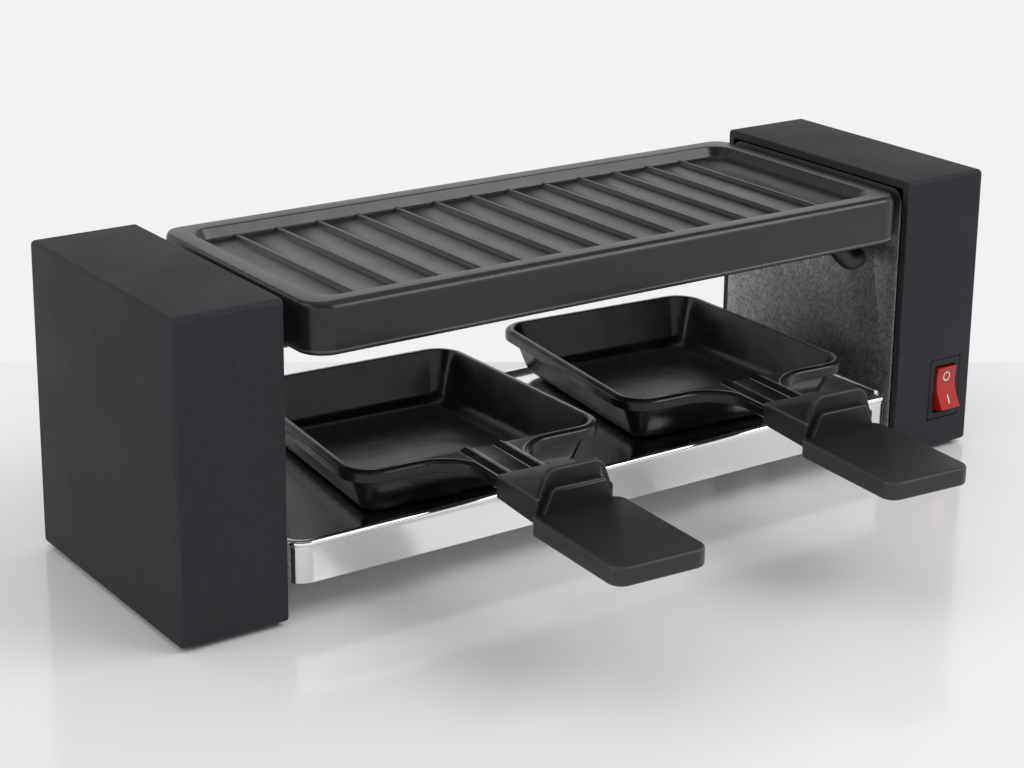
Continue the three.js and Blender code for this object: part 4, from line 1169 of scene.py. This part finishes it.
# ---------------------------------------------------------------- gland, collars, insulators
GLAND_FLANGE = 7.0
GLAND_PROUD = 2.2
GLAND_BORE = 3.3
GLAND_MOUTH = 3.9


def gland():
    back = HALF_DEPTH
    inner_edge, outer_edge = 0.3, 0.7
    profile = [(GLAND_NECK, back - WALL - GLAND_PROUD), (GLAND_NECK, back + GAP)]
    levels = quarter(back + GAP + inner_edge, inner_edge, inner_edge, -90, 0, 3)
    levels += quarter(back + GLAND_PROUD - outer_edge, outer_edge, outer_edge, 0, 90, 5)
    profile += [(GLAND_FLANGE - inset, height) for height, inset in levels]
    bore_profile = [(GLAND_BORE, back - WALL - 4), (GLAND_BORE, back + 1.6)]
    bore_profile += [(GLAND_MOUTH, back + GLAND_PROUD), (GLAND_MOUTH, back + 4)]
    piece = turned("cord_gland_fine", profile, GLAND_PLACE, "y")
    return cut(piece, turned("bore", bore_profile, GLAND_PLACE, "y"))


place_piece(gland(), "base", "foot_rubber", ["cord_gland"])

COLLAR_RADIUS = 7.0
COLLAR_THICKNESS = 2.0
INSULATOR_RADIUS = 4.0
INSULATOR_LENGTH = 5.0
INSULATOR_BORE = 1.5
for spot, side in (("front", -1), ("rear", 1)):
    centre = (0, side * TUBE_END_OFFSET, TUBE_LOW)
    for node, slot_name, start, length, radius, bore_radius, edge in (
        ("element_collar", "galvanised_sheet", PLATE_INNER - GAP - COLLAR_THICKNESS, COLLAR_THICKNESS,
         COLLAR_RADIUS, TUBE_RADIUS + GAP, 0.35),
        ("element_insulator", "ceramic", TUBE_END + GAP, INSULATOR_LENGTH, INSULATOR_RADIUS, INSULATOR_BORE, 0.6),
    ):
        ring = rod(f"{node}_{spot}_fine", radius, start, start + length, centre, "x", edge)
        cut(ring, rod("bore", bore_radius, start - OVER, start + length + OVER, centre, "x"))
        place_piece(ring, "base", slot_name, [f"{node}_{spot}"])


# ---------------------------------------------------------------- CAD nodes that stay
def dress_node(name, slot, width):
    """Gives a CAD node its finish, and rounds its edges by modifiers that leave its mesh as it is."""
    piece = nodes[name]
    piece.data.materials.clear()
    piece.data.materials.append(MATERIALS[slot])
    piece.data.shade_smooth()
    weld = piece.modifiers.new("weld", "WELD")
    weld.merge_threshold = 1e-6
    bevel = piece.modifiers.new("bevel", "BEVEL")
    bevel.width = width * MM
    bevel.segments = 2
    bevel.limit_method = "ANGLE"
    bevel.angle_limit = math.radians(40)
    bevel.harden_normals = True


SLOTS = {row["node"]: row["material_slot"] for row in frame["record"]["subparts"]}
EDGES = {"side_plate_left": 0.25, "side_plate_right": 0.25, "element_bracket": 0.3, "bracket_rivet": 0.3}
SMALL_EDGE = 0.12
for name, slot_name in SLOTS.items():
    if name not in REPLACED:
        dress_node(name, slot_name, EDGES.get(name, SMALL_EDGE))


# ---------------------------------------------------------------- floor, backdrop and light
TABLE_EDGE_ROW = 362
FLOOR_SIZE = 12.0


def floor_material():
    """Glossy pale table top."""
    n = Finish("floor_sheet")
    base = n.blend(n.noise(0.7, 2), grey(0.85, -0.006), grey(0.88, -0.006))
    n.finish(base, n.spread(n.noise(3, 2), 0, 1, 0.1, 0.16))


def backdrop_material():
    """Plain pale backdrop beyond the table's far edge: it looks even, and lights nothing by its glow."""
    n = Finish("backdrop")
    base = n.blend(n.noise(0.6, 2), grey(0.86, -0.005), grey(0.9, -0.005))
    n.finish(base, n.spread(n.noise(3, 2), 0, 1, 0.9, 1.0))
    glow = n.add("ShaderNodeEmission")
    n.link(n.blend(n.noise(0.9, 1), grey(0.85, -0.012), grey(0.94, -0.008)), glow.inputs["Color"])
    n.surface(n.seen(), n.shader.outputs["BSDF"], glow.outputs["Emission"], "Material Output")


def flat_sheet(name, corners, finish):
    mesh = bpy.data.meshes.new(name)
    mesh.from_pydata(corners, [], [tuple(range(len(corners)))])
    mesh.materials.append(MATERIALS[finish])
    piece = add_object(name, mesh)


def add_stage():
    """The table, with its far edge level in the picture, and the backdrop beyond it."""
    left = floor_place(0, TABLE_EDGE_ROW)
    edge = floor_place(IMAGE_WIDTH / 2, TABLE_EDGE_ROW)
    across = (edge - left).normalized()
    ahead = Vector((-across.y, across.x, 0))
    wide, deep = across * FLOOR_SIZE, ahead * FLOOR_SIZE
    near = [edge - wide - deep, edge + wide - deep, edge + wide, edge - wide]
    far = [edge - wide, edge + wide, edge + wide + deep, edge - wide + deep]
    floor_material()
    backdrop_material()
    flat_sheet("table_top", near, "floor_sheet")
    flat_sheet("backdrop", far, "backdrop")


def add_area(name, place, target, size, power):
    data = bpy.data.lights.new(name, "AREA")
    data.shape = "RECTANGLE"
    data.size, data.size_y = size
    data.energy = power
    light = add_object(name, data)
    direction = Vector(target) - Vector(place)
    light.rotation_euler = direction.to_track_quat("-Z", "Y").to_euler()
    light.location = place


def add_world():
    """Soft light from all round, which shows as pale below and dark above in mirrors and gloss."""
    world = bpy.data.worlds.new("studio")
    bpy.context.scene.world = world
    world.use_nodes = True
    n = Nodes(world.node_tree, "Generated")
    light = n.tree.nodes["Background"]
    light.inputs["Color"].default_value = (0.98, 0.985, 1.0, 1.0)
    light.inputs["Strength"].default_value = 0.6
    shown = n.add("ShaderNodeBackground")
    rise = n.spread(n.height(), 0.38, 0.62, 0, 1, "SMOOTHSTEP")
    n.link(n.blend(rise, (0.93, 0.935, 0.95, 1.0), (0.1, 0.1, 0.105, 1.0)), shown.inputs["Color"])
    n.surface(n.seen(), light.outputs["Background"], shown.outputs["Background"], "World Output")


add_stage()
add_world()
add_area("key_box", (0.82, -0.70, 1.1), (0, 0, 0.1), (1.1, 0.5), 8.5)
add_area("top_box", (0, 0.3, 1.7), (0, 0, 0.1), (2.0, 1.6), 5.0)
add_area("left_box", (-1.3, 0.2, 0.8), (0, 0.05, 0.05), (0.9, 0.9), 4.0)

bpy.context.scene.view_settings.view_transform = "Standard"
